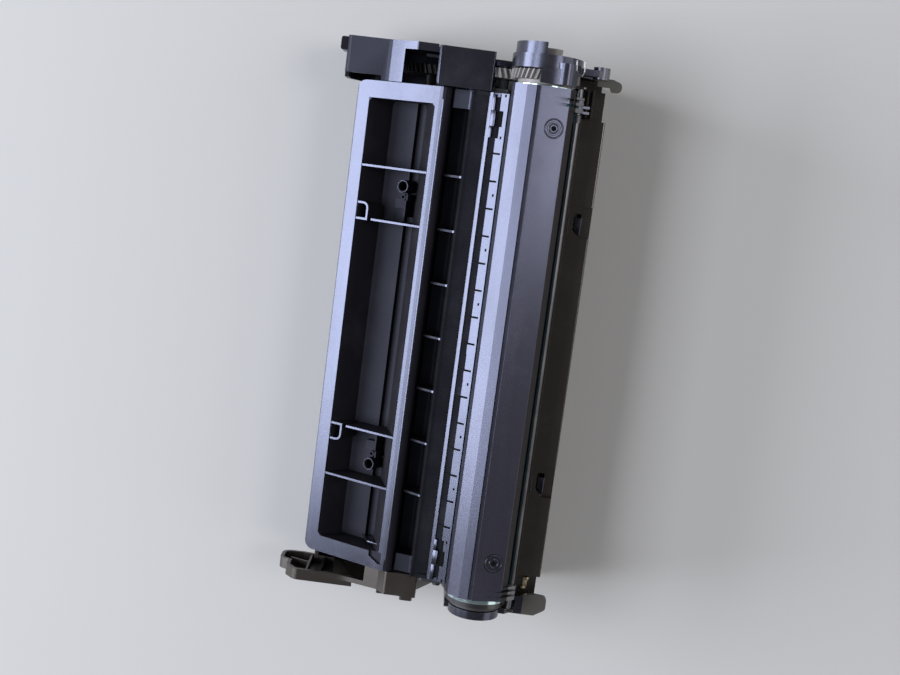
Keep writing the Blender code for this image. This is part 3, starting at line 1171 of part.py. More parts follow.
def contact_end_cover():
    """Cover at the contact end, with its open arm and the unit pin's eye."""
    low, high = CONTACT_COVER_X
    cover = Solid(prism(CONTACT_COVER_OUTLINE, low, high))
    cover.cut(prism(grown(CONTACT_COVER_OUTLINE, -COVER_WALL), low + COVER_PLATE, high + CUT))
    cover.cut(box((low + COVER_PLATE, high + CUT), CONTACT_OPEN_Y, CONTACT_OPEN_Z))
    cover.add(prism(ARM, *ARM_X))
    cover.cut(prism(ARM_POCKET, ARM_X[0] + ARM_PLATE, ARM_X[1] + CUT))
    cover.add(*[prism(rib, ARM_X[0] + 1.0, ARM_X[1] - 0.4) for rib in ARM_RIBS])
    cover.add(*[prism(block, low - depth, low + 0.5) for block, depth in BLOCKS])
    cover.add(*[bar(at, SCREW_BOSS_R, low + 0.5, high, 16) for at in CONTACT_SCREWS])
    cover.add(prism(unit_eye(), CONTACT_PLATE_X[1] + GAP, CONTACT_PLATE_X[1] + 3.2))
    cover.cut(bar(PIVOT_AT, UNIT_PIN_R + PLAY, CONTACT_PLATE_X[1] - CUT, CONTACT_PLATE_X[1] + 4, 16))
    cover.cut(bar(ROLLER_AT, CORE_PIN_R + PLAY, low - CUT, high + CUT, 16))
    cover.cut(*[bar(at, SCREW_R + PLAY, low - CUT, high + CUT, 12) for at in CONTACT_SCREWS])
    cover.finish("contact_end_cover", "developer_unit", BLACK)
    tip = -BODY_HALF + END_WALL - BLIND - 0.2
    for at, place in zip(CONTACT_SCREWS, ("far", "near")):
        screw("contact_cover_screw_" + place, "developer_unit", at, tip, low - GAP)


def toner_plug():
    """Plug in the hopper's filling hole."""
    inside = END_WALL - BODY_HALF
    head = -BODY_HALF - GAP
    plug = Solid(turned(PLUG_AT, [
        (inside, 0.0), (inside, PLUG_R), (head, PLUG_R), (head, PLUG_HEAD_R), (head - PLUG_HEAD, PLUG_HEAD_R),
        (head - PLUG_HEAD, 0.0),
    ], 24))
    plug.finish("toner_plug", "developer_unit", WHITE_PLASTIC)


def unit_pins():
    """Two steel pins that join the units."""
    drive = Solid(bar(PIVOT_AT, UNIT_PIN_R, DRUM_PLATE_X[0] + 0.2, SLAB_TOP_X, 16))
    drive.finish("unit_pin_drive", "drum_unit", STEEL)
    contact = Solid(bar(PIVOT_AT, UNIT_PIN_R, CONTACT_PLATE_X[0] - 0.4, CONTACT_PLATE_X[1] + 4.0, 16))
    contact.finish("unit_pin_contact", "drum_unit", STEEL)


def clear_scene():
    for item in list(bpy.data.objects):
        bpy.data.objects.remove(item)


def make_axes():
    """One empty on the axis of each body."""
    for name, at in BODIES.items():
        axis = bpy.data.objects.new(name + "_axis", None)
        axis.location = (0.0, at[0] * MM, at[1] * MM)
        axis.empty_display_size = 0.02
        bpy.context.scene.collection.objects.link(axis)


def main():
    clear_scene()
    make_axes()
    toner_hopper()
    hopper_lid()
    developer_frame()
    metering_blade()
    developer_roller()
    stirrer()
    toner_plug()
    drive_end_cover()
    contact_end_cover()
    drum()
    charge_roller()
    waste_bin()
    cleaning_blade()
    drum_shutter()
    drum_plates()
    unit_pins()


main()
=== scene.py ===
"""A toner cartridge with its drum unit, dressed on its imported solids.

Every piece lies where the solid it stands for lies. Lengths are in metres, X runs along the drum towards
the drive end, Y towards the toner hopper, and Z up, out of the side with the drum shutter.
"""

import json
import math

import bmesh
import bpy
from mathutils import Matrix, Vector


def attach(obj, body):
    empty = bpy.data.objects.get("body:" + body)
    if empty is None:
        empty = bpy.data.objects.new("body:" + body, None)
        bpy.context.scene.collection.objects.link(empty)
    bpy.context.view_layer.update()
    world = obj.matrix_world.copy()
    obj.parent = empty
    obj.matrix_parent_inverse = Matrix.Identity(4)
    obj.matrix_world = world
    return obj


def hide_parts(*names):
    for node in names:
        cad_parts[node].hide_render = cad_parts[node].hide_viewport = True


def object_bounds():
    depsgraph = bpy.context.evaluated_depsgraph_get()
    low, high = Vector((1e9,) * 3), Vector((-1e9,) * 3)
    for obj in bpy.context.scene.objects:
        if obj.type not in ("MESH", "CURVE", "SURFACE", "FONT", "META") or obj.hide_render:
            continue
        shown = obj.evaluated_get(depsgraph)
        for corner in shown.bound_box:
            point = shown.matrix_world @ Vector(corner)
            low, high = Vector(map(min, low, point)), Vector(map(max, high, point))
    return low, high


bl_info = {
    "name": "Toner Cartridge",
    "version": (1, 0, 0),
    "blender": (4, 5, 0),
    "location": "3D View > Sidebar > Cartridge",
    "description": "Mouldings, rollers, gears, fasteners and stage of a toner cartridge",
    "category": "Add Mesh",
}

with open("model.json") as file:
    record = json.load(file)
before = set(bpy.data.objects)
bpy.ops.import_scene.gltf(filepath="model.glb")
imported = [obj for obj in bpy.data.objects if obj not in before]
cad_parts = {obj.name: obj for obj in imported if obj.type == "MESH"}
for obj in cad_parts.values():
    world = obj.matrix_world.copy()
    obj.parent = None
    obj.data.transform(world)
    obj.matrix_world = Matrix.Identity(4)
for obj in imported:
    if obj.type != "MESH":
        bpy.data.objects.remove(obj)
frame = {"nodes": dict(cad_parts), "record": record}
solid_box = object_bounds()

MM = 0.001
MICRON = 0.000001

# Surfaces that finishes refer to, in metres
LID_LEVEL = 60.7 * MM
LID_WALL = 1.2 * MM
COATED_HALF = 118.6 * MM
TUBE_END = 122.0 * MM
TAB_START = 56.0 * MM

# How pieces are merged, drawn and rounded: distances in metres, angles in degrees
BEAD_SIDES = 16
BEAD_STEPS = 40
DISC_SIDES = 28
WIRE_SIDES = 18
WIRE_RINGS = 10
SHARP_ANGLE_RADIANS = 0.5
MERGE_DISTANCE = 0.01 * MM
FLAT_ANGLE = 0.6
SMOOTH_ANGLE = 25
BEVEL_SEGMENTS = 2
SHADING_WEIGHT = 60

# Directions, tints and the point that the lid's slope is measured from, in millimetres
LID_ORIGIN = (13.2, 62.0)
LID_NORMAL = (0.0, 0.4813, 0.8765)
SHUTTER_NORMAL = (0.0, -0.2625, 0.965)
TO_HOPPER = (0.0, 1.0, 0.0)
TO_FIN = (0.0, -1.0, 0.0)
INTO_TRAY = (0.0, -0.4813, -0.8765)
COOL_SHINE = (0.66, 0.72, 1.0)
WARM_SHINE = (0.9, 0.84, 0.8)
# Near-black with hardly any shine: painted shade for cuts, holes and the gap beside the drum
PAINTED_SHADE_BLACK = (0.004, 0.004, 0.004)

# The low strip of the developer frame, in millimetres: its slope, its ticks, marks and stepped ends. The
# ticks and marks are near-black slabs of painted shade, for cuts across the strip.
# Each step: start and end from the strip's end, then how far its bright ledge and its dark band reach; the
# dark band is painted shade for the groove beside the ledge
STRIP_LEAN = -0.5516
STRIP_FALL = 0.615
STRIP_STRETCH = 1.17
TICK_PITCH = 13.0
TICKS_EACH_WAY = 7
TICK_AT = (-13.9, 66.34)
TICK_SIZE = (0.9, 3.9, 0.7)
MARKS = (19.5, 45.5, 71.5, 98.5, 118.0)
MARK_AT = (-14.9, 67.0)
MARK_SIZE = (1.3, 0.9, 0.3)
STRIP_END = 118.8
STRIP_STEPS = ((0.5, 8.0, 10.4, 12.8), (8.0, 15.3, 11.2, 14.7), (15.3, 20.7, 10.2, 13.6))
LEDGE_START = 8.9
LEDGE_HEIGHT = 64.95
LEDGE_THICK = 0.5
DARK_START = 12.4
DARK_REFERENCE = 12.5
DARK_HEIGHT = 65.67
DARK_THICK = 0.3

# The moulding gates on the shutter: radius and thickness of each ring and hole, in millimetres. The hole and
# the grooves are a near-black disc and beads: painted shade
GATES = (105.2, -100.6)
GATE_AT = (-38.0, 84.12)
GATE_RINGS = ((4.1, 0.3), (2.1, 0.4))
GATE_GROOVES = ((4.6, 0.1), (3.1, 0.12))
GATE_HOLE = (1.2, 0.3)

# The other small pieces, in millimetres; slabs are given by centre and size
CLIP = ((137.0, -44.6, 79.0), (132.6, -44.9, 79.0), (130.6, -46.2, 79.0), (130.4, -47.6, 79.0),
        (132.6, -48.6, 79.0), (137.0, -48.4, 79.0))
CLIP_RADIUS = 0.45
GUSSET_X = -109.6
GUSSET_THICK = 1.0
GUSSET = ((11.0, -7.0), (17.0, -7.0), (26.0, -15.5), (17.0, -15.5))
POST_X = (70.0, -70.0)
POST_S = 22.4
POST_TOP = -8.0
POST_RIM = (2.85, 0.22)
CONTACT_SLABS = (((-117.2, -56.3, 55.3), (6.0, 2.2, 1.0)), ((-114.6, -57.0, 56.3), (1.6, 1.6, 2.4)),
                 ((-119.6, -55.6, 55.9), (1.4, 1.8, 1.8)))
# The seal's two sheets: a seal film beside the drum, made near-black as painted shade in the gap
SEAL_SLABS = (((0.0, -46.45, 74.65), (216.0, 1.3, 0.12)), ((0.0, -47.15, 71.6), (216.0, 0.1, 6.0)))
NOTCHES = (62.0, -66.0)
NOTCH_SLABS = (((-57.0, 58.9), (8.5, 3.6, 1.6)), ((-52.2, 60.0), (8.5, 0.8, 1.0)))
NOTCH_LEAN = -0.5

# The stage, in metres. Each lamp: name, place, target, size, its power's setting and its tint
FLOOR_HALF = 6.0
FLOOR_GAP = 0.05 * MM
FLOOR_ROUGHNESS = 0.85
SKY_TINT = (0.93, 0.95, 1.0, 1.0)
LAMPS = (
    ("side_lamp", (0.0, 1.88, 0.76), (0.0, 0.0, 0.06), (1.2, 1.0), "side_power", (0.88, 0.91, 1.0)),
    ("upper_lamp", (-0.02, 1.24, 1.64), (0.0, 0.0, 0.06), (1.2, 0.64), "upper_power", (0.88, 0.91, 1.0)),
    ("fill_lamp", (0.0, -1.3, 0.55), (0.0, 0.0, 0.05), (1.8, 0.8), "fill_power", (1.0, 0.98, 0.95)),
    ("top_lamp", (0.34, -1.34, 1.95), (0.0, -0.02, 0.05), (0.75, 0.75), "top_power", (1.0, 0.96, 0.98)),
)
CAMERA_PLACE = (0.0792, -0.0037, 0.660)
CAMERA_RIGHT = (0.1285, -0.9915, -0.017)
CAMERA_UP = (0.983, 0.1296, -0.128)
SENSOR_WIDTH = 36.0


def length(name, description, default):
    """A length setting whose default is given in millimetres."""
    return bpy.props.FloatProperty(name=name, description=description, default=default * MM, unit="LENGTH")


def share(name, description, default):
    """A setting from nought to one."""
    return bpy.props.FloatProperty(name=name, description=description, default=default, min=0.0, max=1.0,
                                   subtype="FACTOR")


def power(name, description, default):
    """A lamp's power setting in watts."""
    return bpy.props.FloatProperty(name=name, description=description, default=default, unit="POWER")


def colour(name, description, default):
    """A linear colour setting."""
    return bpy.props.FloatVectorProperty(name=name, description=description, default=default, size=3,
                                         min=0.0, max=1.0, subtype="COLOR")


class MouldingSettings(bpy.types.PropertyGroup):
    """Finish of the moulded parts."""

    black: colour("Black plastic", "Colour of the hopper, its lid and the drive side cover",
                  (0.013, 0.012, 0.014))
    gloss_black: colour("Gloss black", "Colour of the developer frame", (0.010, 0.009, 0.010))
    shutter: colour("Shutter", "Colour of the drum shutter", (0.028, 0.025, 0.034))
    charcoal: colour("Charcoal", "Colour of dark grey mouldings", (0.035, 0.033, 0.034))
    bin: colour("Bin", "Colour of the waste bin, its fin and the contact side cover",
                (0.020, 0.016, 0.013))
    olive: colour("Guide tabs", "Colour of the tabs behind the fin and the shutter's far edge",
                  (0.10, 0.095, 0.080))
    brown: colour("Gear plastic", "Colour of the drum and roller gears", (0.28, 0.265, 0.26))
    pale: colour("Bearing plastic", "Colour of bearings, collars and saddles", (0.56, 0.54, 0.48))
    white: colour("White plastic", "Colour of the filling plug", (0.76, 0.76, 0.74))
    roughness: share("Roughness", "Roughness of the satin black plastic", 0.22)
    gloss: share("Gloss roughness", "Roughness of the glossy mouldings", 0.22)
    grain: length("Grain size", "Distance between the pits of the moulded grain", 0.45)
    edge: length("Edge radius", "Rounding of the moulded edges", 0.22)


class MetalSettings(bpy.types.PropertyGroup):
    """Finish of the rollers, rods and sheet metal."""

    steel: colour("Steel", "Colour of ground steel", (0.36, 0.36, 0.38))
    dark: colour("Rod", "Colour of the shutter's rod", (0.13, 0.13, 0.14))
    zinc: colour("Zinc", "Colour of plated sheet steel", (0.50, 0.52, 0.53))
    gold: colour("Contact", "Colour of the spring contacts", (0.75, 0.62, 0.40))
    coat: colour("Drum coat", "Colour of the coating on the drum", (0.06, 0.26, 0.30))
    tube: colour("Tube", "Colour of the bare ends of the drum's tube", (0.45, 0.58, 0.60))
    rubber: colour("Rubber", "Colour of the roller rubber", (0.030, 0.030, 0.032))
    amber: colour("Blade rubber", "Colour of the blades", (0.10, 0.065, 0.035))
    film: colour("Film", "Colour of the stirrer's film", (0.55, 0.50, 0.38))


class StageSettings(bpy.types.PropertyGroup):
    """Floor, lamps and camera."""

    floor: colour("Floor", "Colour of the floor", (0.62, 0.62, 0.61))
    lens: bpy.props.FloatProperty(name="Focal length", description="Lens of the camera", default=50.0,
                                  unit="CAMERA")
    side_power: power("Side lamp", "Power of the wide lamp on the hopper's side", 43.0)
    upper_power: power("Upper lamp", "Power of the lamp high on that side", 19.0)
    top_power: power("Top lamp", "Power of the lamp above the fin", 8.5)
    fill_power: power("Fill lamp", "Power of the weak lamp on the fin's side", 6.0)
    sky: bpy.props.FloatProperty(name="Sky", description="Strength of the even light all round", default=0.14,
                                 min=0.0)


# Node groups and materials


def new_group(name, inputs, outputs):
    """An empty shader node group with its sockets, and its in and out nodes."""
    group = bpy.data.node_groups.new(name, "ShaderNodeTree")
    for label, kind, value in inputs:
        socket = group.interface.new_socket(label, in_out="INPUT", socket_type="NodeSocket" + kind)
        socket.default_value = value
    for label, kind in outputs:
        group.interface.new_socket(label, in_out="OUTPUT", socket_type="NodeSocket" + kind)
    return group, group.nodes.new("NodeGroupInput"), group.nodes.new("NodeGroupOutput")


def calculate(tree, operation, first, second, clamp=False):
    """A Math node's output for two sockets or numbers."""
    node = tree.nodes.new("ShaderNodeMath")
    node.operation = operation
    node.use_clamp = clamp
    for socket, value in zip(node.inputs, (first, second)):
        if isinstance(value, (int, float)):
            socket.default_value = value
        else:
            tree.links.new(value, socket)
    return node.outputs[0]


def noise(tree, vector, scale, detail=2.0, rough=0.5):
    """A Noise Texture's value."""
    node = tree.nodes.new("ShaderNodeTexNoise")
    node.inputs["Detail"].default_value = detail
    node.inputs["Roughness"].default_value = rough
    tree.links.new(vector, node.inputs["Vector"])
    if isinstance(scale, (int, float)):
        node.inputs["Scale"].default_value = scale
    else:
        tree.links.new(scale, node.inputs["Scale"])
    return node.outputs[0]


def stretched(tree, vector, factors):
    """The vector scaled by three factors."""
    node = tree.nodes.new("ShaderNodeMapping")
    node.inputs["Scale"].default_value = factors
    tree.links.new(vector, node.inputs["Vector"])
    return node.outputs[0]


def ramp(tree, value, low, high, start=0.0, end=1.0):
    """The value between low and high spread over start to end."""
    node = tree.nodes.new("ShaderNodeMapRange")
    node.inputs["From Min"].default_value = low
    node.inputs["From Max"].default_value = high
    node.inputs["To Min"].default_value = start
    node.inputs["To Max"].default_value = end
    tree.links.new(value, node.inputs["Value"])
    return node.outputs[0]


def mixed(tree, factor, first, second):
    """A colour mix of two sockets or colours."""
    node = tree.nodes.new("ShaderNodeMix")
    node.data_type = "RGBA"
    tree.links.new(factor, node.inputs["Factor"])
    for socket, value in ((node.inputs[6], first), (node.inputs[7], second)):
        if isinstance(value, (tuple, list)):
            socket.default_value = (*value[:3], 1.0)
        else:
            tree.links.new(value, socket)
    return node.outputs[2]


def make_moulded_group():
    """Fine moulded grain, slow flow marks and light handling smears."""
    group, entry, leave = new_group(
        "moulded_surface",
        [("Vector", "Vector", (0.0, 0.0, 0.0)), ("Color", "Color", (0.02, 0.02, 0.02, 1.0)),
         ("Roughness", "Float", 0.4), ("Grain", "Float", 2000.0), ("Smears", "Float", 0.5)],
        [("Color", "Color"), ("Roughness", "Float"), ("Height", "Float")])
    vector = entry.outputs["Vector"]
    fine = noise(group, vector, entry.outputs["Grain"], 3.0, 0.6)
    broad = noise(group, vector, 38.0, 4.0, 0.6)
    flow = noise(group, stretched(group, vector, (9.0, 60.0, 60.0)), 1.0, 3.0, 0.5)
    smear = calculate(group, "MULTIPLY", ramp(group, broad, 0.48, 0.72), entry.outputs["Smears"], True)
    lighter = mixed(group, calculate(group, "MULTIPLY", smear, 0.35), entry.outputs["Color"],
                    (0.10, 0.10, 0.11))
    group.links.new(lighter, leave.inputs["Color"])
    rough = calculate(group, "ADD", entry.outputs["Roughness"], calculate(group, "MULTIPLY", smear, 0.12))
    rough = calculate(group, "ADD", rough, ramp(group, flow, 0.3, 0.7, -0.04, 0.04))
    rough = calculate(group, "ADD", rough, ramp(group, fine, 0.3, 0.7, -0.05, 0.05), True)
    group.links.new(rough, leave.inputs["Roughness"])
    group.links.new(fine, leave.inputs["Height"])


def make_metal_group():
    """Grinding lines round or along a piece, with dull patches."""
    group, entry, leave = new_group(
        "ground_metal",
        [("Vector", "Vector", (0.0, 0.0, 0.0)), ("Color", "Color", (0.6, 0.6, 0.6, 1.0)),
         ("Roughness", "Float", 0.3), ("Lines", "Vector", (4000.0, 30.0, 30.0))],
        [("Color", "Color"), ("Roughness", "Float"), ("Height", "Float")])
    vector = entry.outputs["Vector"]
    product = group.nodes.new("ShaderNodeVectorMath")
    product.operation = "MULTIPLY"
    group.links.new(vector, product.inputs[0])
    group.links.new(entry.outputs["Lines"], product.inputs[1])
    lines = noise(group, product.outputs[0], 1.0, 2.0, 0.6)
    dull = noise(group, vector, 60.0, 4.0, 0.6)
    darker = mixed(group, ramp(group, dull, 0.45, 0.75, 0.0, 0.45), entry.outputs["Color"],
                   (0.30, 0.30, 0.31))
    group.links.new(darker, leave.inputs["Color"])
    rough = calculate(group, "ADD", entry.outputs["Roughness"], ramp(group, lines, 0.3, 0.7, -0.06, 0.06))
    rough = calculate(group, "ADD", rough, ramp(group, dull, 0.4, 0.8, 0.0, 0.12), True)
    group.links.new(rough, leave.inputs["Roughness"])
    group.links.new(lines, leave.inputs["Height"])


def make_region_group():
    """One on the far side of a plane, given by its outward direction and its distance from the origin."""
    group, entry, leave = new_group(
        "beyond_plane", [("Vector", "Vector", (0.0, 0.0, 0.0)), ("Direction", "Vector", (1.0, 0.0, 0.0)),
                         ("Distance", "Float", 0.0)], [("Mask", "Float")])
    dot = group.nodes.new("ShaderNodeVectorMath")
    dot.operation = "DOT_PRODUCT"
    group.links.new(entry.outputs["Vector"], dot.inputs[0])
    group.links.new(entry.outputs["Direction"], dot.inputs[1])
    past = calculate(group, "SUBTRACT", dot.outputs["Value"], entry.outputs["Distance"])
    mask = calculate(group, "ADD", calculate(group, "MULTIPLY", past, 4000.0), 0.5, True)
    group.links.new(mask, leave.inputs["Mask"])


def start_material(name, group_name):
    """A material whose Principled shader takes colour, roughness and bump from a node group."""
    material = bpy.data.materials.new(name)
    material.use_nodes = True
    tree = material.node_tree
    shader = tree.nodes["Principled BSDF"]
    place = tree.nodes.new("ShaderNodeTexCoord")
    group = tree.nodes.new("ShaderNodeGroup")
    group.node_tree = bpy.data.node_groups[group_name]
    bump = tree.nodes.new("ShaderNodeBump")
    tree.links.new(place.outputs["Object"], group.inputs["Vector"])
    tree.links.new(group.outputs["Color"], shader.inputs["Base Color"])
    tree.links.new(group.outputs["Roughness"], shader.inputs["Roughness"])
    tree.links.new(group.outputs["Height"], bump.inputs["Height"])
    tree.links.new(bump.outputs["Normal"], shader.inputs["Normal"])
    return material, shader, group, bump


def make_plastic(name, shade, roughness, grain, depth, smears=0.5, coat=0.0, coat_roughness=0.12):
    """A moulded plastic with that colour, grain size and grain depth in metres."""
    material, shader, group, bump = start_material(name, "moulded_surface")
    group.inputs["Color"].default_value = (*shade, 1.0)
    group.inputs["Roughness"].default_value = roughness
    group.inputs["Grain"].default_value = 1.0 / grain
    group.inputs["Smears"].default_value = smears
    bump.inputs["Distance"].default_value = depth
    bump.inputs["Strength"].default_value = 1.0
    shader.inputs["Coat Weight"].default_value = coat
    shader.inputs["Coat Roughness"].default_value = coat_roughness
    return material


def make_black(name, shade, roughness, grain, depth, smears=0.4, shine=COOL_SHINE, level=1.0):
    """A dark plastic with a tinted shine of that level."""
    material = make_plastic(name, shade, roughness, grain, depth, smears)
    shader = material.node_tree.nodes["Principled BSDF"]
    shader.inputs["Specular IOR Level"].default_value = level
    shader.inputs["Specular Tint"].default_value = (*shine, 1.0)
    return material


def make_metal(name, shade, roughness, lines):
    """A ground or rolled metal whose lines are finest along the axis with the largest number."""
    material, shader, group, bump = start_material(name, "ground_metal")
    group.inputs["Color"].default_value = (*shade, 1.0)
    group.inputs["Roughness"].default_value = roughness
    group.inputs["Lines"].default_value = lines
    bump.inputs["Distance"].default_value = 4 * MICRON
    shader.inputs["Metallic"].default_value = 1.0
    return material


def paint_beyond(name, direction, distance, values):
    """Give a material other values of its shader beyond a plane."""
    tree = bpy.data.materials[name].node_tree
    shader = tree.nodes["Principled BSDF"]
    region = tree.nodes.new("ShaderNodeGroup")
    region.node_tree = bpy.data.node_groups["beyond_plane"]
    region.inputs["Direction"].default_value = direction
    region.inputs["Distance"].default_value = distance
    tree.links.new(tree.nodes["Texture Coordinate"].outputs["Object"], region.inputs["Vector"])
    for label, value in values.items():
        socket = shader.inputs[label]
        if label == "Base Color":
            tree.links.new(mixed(tree, region.outputs[0], socket.links[0].from_socket, value), socket)
        else:
            near = socket.links[0].from_socket if socket.is_linked else socket.default_value
            change = calculate(tree, "MULTIPLY", region.outputs[0], calculate(tree, "SUBTRACT", value, near))
            tree.links.new(calculate(tree, "ADD", near, change), socket)


# The material of each solid
NODE_FINISH = {
    "toner_hopper": "black_plastic", "hopper_lid": "black_plastic", "developer_frame": "gloss_plastic",
    "drive_end_cover": "black_plastic", "contact_end_cover": "cover_plastic",
    "waste_bin": "bin_plastic", "waste_bin_cover": "bin_plastic",
    "drum_plate_drive": "plate_plastic", "drum_plate_contact": "plate_plastic",
    "drum_shutter": "shutter_plastic", "metering_blade_bracket": "zinc_plate",
    "cleaning_blade_bracket": "zinc_plate", "metering_blade": "blade_rubber",
    "cleaning_blade": "blade_rubber",
    "charge_saddle_drive": "pale_plastic", "charge_saddle_contact": "pale_plastic",
    "roller_bearing_drive": "charcoal_plastic", "roller_bearing_contact": "charcoal_plastic",
    "spacer_collar_drive": "pale_plastic", "spacer_collar_contact": "pale_plastic",
    "drum_gear_flange": "gear_plastic", "developer_gear": "gear_plastic", "idler_gear": "charcoal_plastic",
    "agitator_gear": "charcoal_plastic", "agitator_shaft": "charcoal_plastic", "agitator_blade": "clear_film",
    "drum_hub": "charcoal_plastic", "toner_plug": "white_plastic", "magnet_core": "charcoal_plastic",
    "drum_tube": "drum_coat", "developer_sleeve": "roller_rubber", "charge_roller_sleeve": "roller_rubber",
    "charge_roller_shaft": "ground_steel", "shutter_rod": "dark_steel", "drum_pin": "ground_steel",
    "unit_pin_drive": "ground_steel", "unit_pin_contact": "ground_steel",
    "shutter_spring": "ground_steel", "blade_screw_contact": "zinc_plate", "blade_screw_middle": "zinc_plate",
    "blade_screw_drive": "zinc_plate",
    "drive_cover_screw_far": "zinc_plate", "drive_cover_screw_near": "zinc_plate",
    "contact_cover_screw_far": "zinc_plate", "contact_cover_screw_near": "zinc_plate",
}

# Parts of a solid with a finish of their own: a plane's direction and distance, and the material beyond it.
# Beyond their planes the frame, the shutter's groove, the cover's arm and the tray get a weaker shine:
# painted shade, on the frame partly its matte band
ZONES = {
    "developer_frame": [(TO_HOPPER, 2.0 * MM, "frame_plastic")],
    "drum_shutter": [(TO_FIN, 43.7 * MM, "shutter_groove_plastic"),
                     (TO_FIN, 46.9 * MM, "shutter_edge_plastic")],
    "drive_end_cover": [(TO_HOPPER, 42.0 * MM, "cover_arm_plastic")],
    "hopper_lid": [(INTO_TRAY, -LID_LEVEL + LID_WALL, "tray_plastic")],
}

# The solids whose edges are rounded: share of the edge setting, and the smallest angle in degrees
ROUNDED_NODES = {
    "toner_hopper": (1.0, 27), "hopper_lid": (0.5, 7), "developer_frame": (0.6, 11),
    "drive_end_cover": (1.0, 19), "contact_end_cover": (1.0, 19),
    "waste_bin": (2.1, 9), "waste_bin_cover": (1.0, 27),
    "drum_plate_drive": (0.9, 27), "drum_plate_contact": (0.9, 27), "drum_shutter": (0.6, 7),
    "metering_blade_bracket": (0.5, 27), "charge_saddle_drive": (0.7, 27), "charge_saddle_contact": (0.7, 27),
    "roller_bearing_drive": (0.7, 27), "roller_bearing_contact": (0.7, 27), "spacer_collar_drive": (0.7, 27),
    "spacer_collar_contact": (0.7, 27), "drum_gear_flange": (0.35, 27), "developer_gear": (0.35, 27),
    "idler_gear": (0.35, 27), "agitator_gear": (0.35, 27), "drum_hub": (0.7, 27), "toner_plug": (0.9, 27),
    "drum_pin": (0.7, 27), "drum_tube": (0.4, 27),
}


def lid_point(across, up):
    """Y and Z in millimetres of a point at a distance down the lid's slope and above it."""
    _, lean, rise = LID_NORMAL
    return LID_ORIGIN[0] + across * rise + up * lean, LID_ORIGIN[1] - across * lean + up * rise


def body_of_node(node):
    """The name of the body that a solid belongs to."""
    for body, nodes in frame["record"]["behaviour"]["bodies"].items():
        if node in nodes:
            return body
    raise RuntimeError("no body holds " + node)


def rounded_copy(node, width, angle):
    """A copy of a solid with its triangles merged into flat faces, cut at its zones and rounded."""
    source = frame["nodes"][node]
    mesh = source.data.copy()
    mesh.name = node + "_dressed"
    work = bmesh.new()
    work.from_mesh(mesh)
    bmesh.ops.remove_doubles(work, verts=work.verts, dist=MERGE_DISTANCE)
    bmesh.ops.dissolve_limit(work, angle_limit=math.radians(FLAT_ANGLE), verts=work.verts, edges=work.edges)
    for direction, distance, _ in ZONES.get(node, ()):
        bmesh.ops.bisect_plane(work, geom=work.verts[:] + work.edges[:] + work.faces[:], dist=MERGE_DISTANCE,
                               plane_co=Vector(direction) * distance, plane_no=direction)
    work.to_mesh(mesh)
    work.free()
    piece = bpy.data.objects.new(node + "_dressed", mesh)
    bpy.context.scene.collection.objects.link(piece)
    for face in mesh.polygons:
        face.use_smooth = True
    bevel = piece.modifiers.new("rounding", "BEVEL")
    bevel.width = width
    bevel.segments = BEVEL_SEGMENTS
    bevel.limit_method = "ANGLE"
    bevel.angle_limit = angle
    bevel.use_clamp_overlap = True
    shading = piece.modifiers.new("shading", "WEIGHTED_NORMAL")
    shading.mode = "FACE_AREA"
    shading.weight = SHADING_WEIGHT
    return piece


def dress_like(piece, node, material):
    """Give a piece its material and the body of a solid."""
    piece.data.materials.clear()
    piece.data.materials.append(bpy.data.materials[material])
    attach(piece, body_of_node(node))


def paint_zones(piece, node):
    """Give the faces beyond each of a solid's planes a material of their own."""
    for number, (direction, distance, material) in enumerate(ZONES.get(node, ()), 1):
        piece.data.materials.append(bpy.data.materials[material])
        for face in piece.data.polygons:
            if face.center.dot(Vector(direction)) > distance:
                face.material_index = number


def add_slab(work, centre, size, lean=0.0):
    """Add a block in millimetres, leaned about its X axis, to a bmesh."""
    place = Matrix.Translation(Vector(centre) * MM) @ Matrix.Rotation(lean, 4, "X")
    stretch = Matrix.Diagonal((*[side * MM for side in size], 1.0))
    bmesh.ops.create_cube(work, size=1.0, matrix=place @ stretch)


def add_bead(work, centre, normal, radius, thick):
    """Add a half sunk round bead that runs in a circle about an axis."""
    turn = Vector((0.0, 0.0, 1.0)).rotation_difference(Vector(normal)).to_matrix().to_4x4()
    place = Matrix.Translation(Vector(centre) * MM) @ turn
    section = Matrix.Translation((radius * MM, 0.0, 0.0)) @ Matrix.Rotation(math.pi / 2, 4, "X")
    drawn = bmesh.ops.create_circle(work, segments=BEAD_SIDES, radius=thick * MM, matrix=place @ section)
    edges = {edge for vert in drawn["verts"] for edge in vert.link_edges}
    bmesh.ops.spin(work, geom=drawn["verts"] + list(edges), cent=place.translation, axis=place.col[2].xyz,
                   angle=math.tau, steps=BEAD_STEPS, use_merge=True)


def add_disc(work, centre, normal, radius, thick):
    """Add a round plate whose middle is at the centre."""
    turn = Vector((0.0, 0.0, 1.0)).rotation_difference(Vector(normal)).to_matrix().to_4x4()
    bmesh.ops.create_cone(work, cap_ends=True, segments=DISC_SIDES, radius1=radius * MM, radius2=radius * MM,
                          depth=thick * MM, matrix=Matrix.Translation(Vector(centre) * MM) @ turn)


def add_wire(work, points, radius):
    """Add a round wire along straight runs, with a ball at every bend."""
    for start, end in zip(points, points[1:]):
        run = (Vector(end) - Vector(start)) * MM
        middle = (Vector(end) + Vector(start)) * MM / 2
        turn = Vector((0.0, 0.0, 1.0)).rotation_difference(run).to_matrix().to_4x4()
        bmesh.ops.create_cone(work, cap_ends=True, segments=WIRE_SIDES, radius1=radius * MM,
                              radius2=radius * MM, depth=run.length, matrix=Matrix.Translation(middle) @ turn)
    for point in points:
        bmesh.ops.create_uvsphere(work, u_segments=WIRE_SIDES, v_segments=WIRE_RINGS, radius=radius * MM,
                                  matrix=Matrix.Translation(Vector(point) * MM))


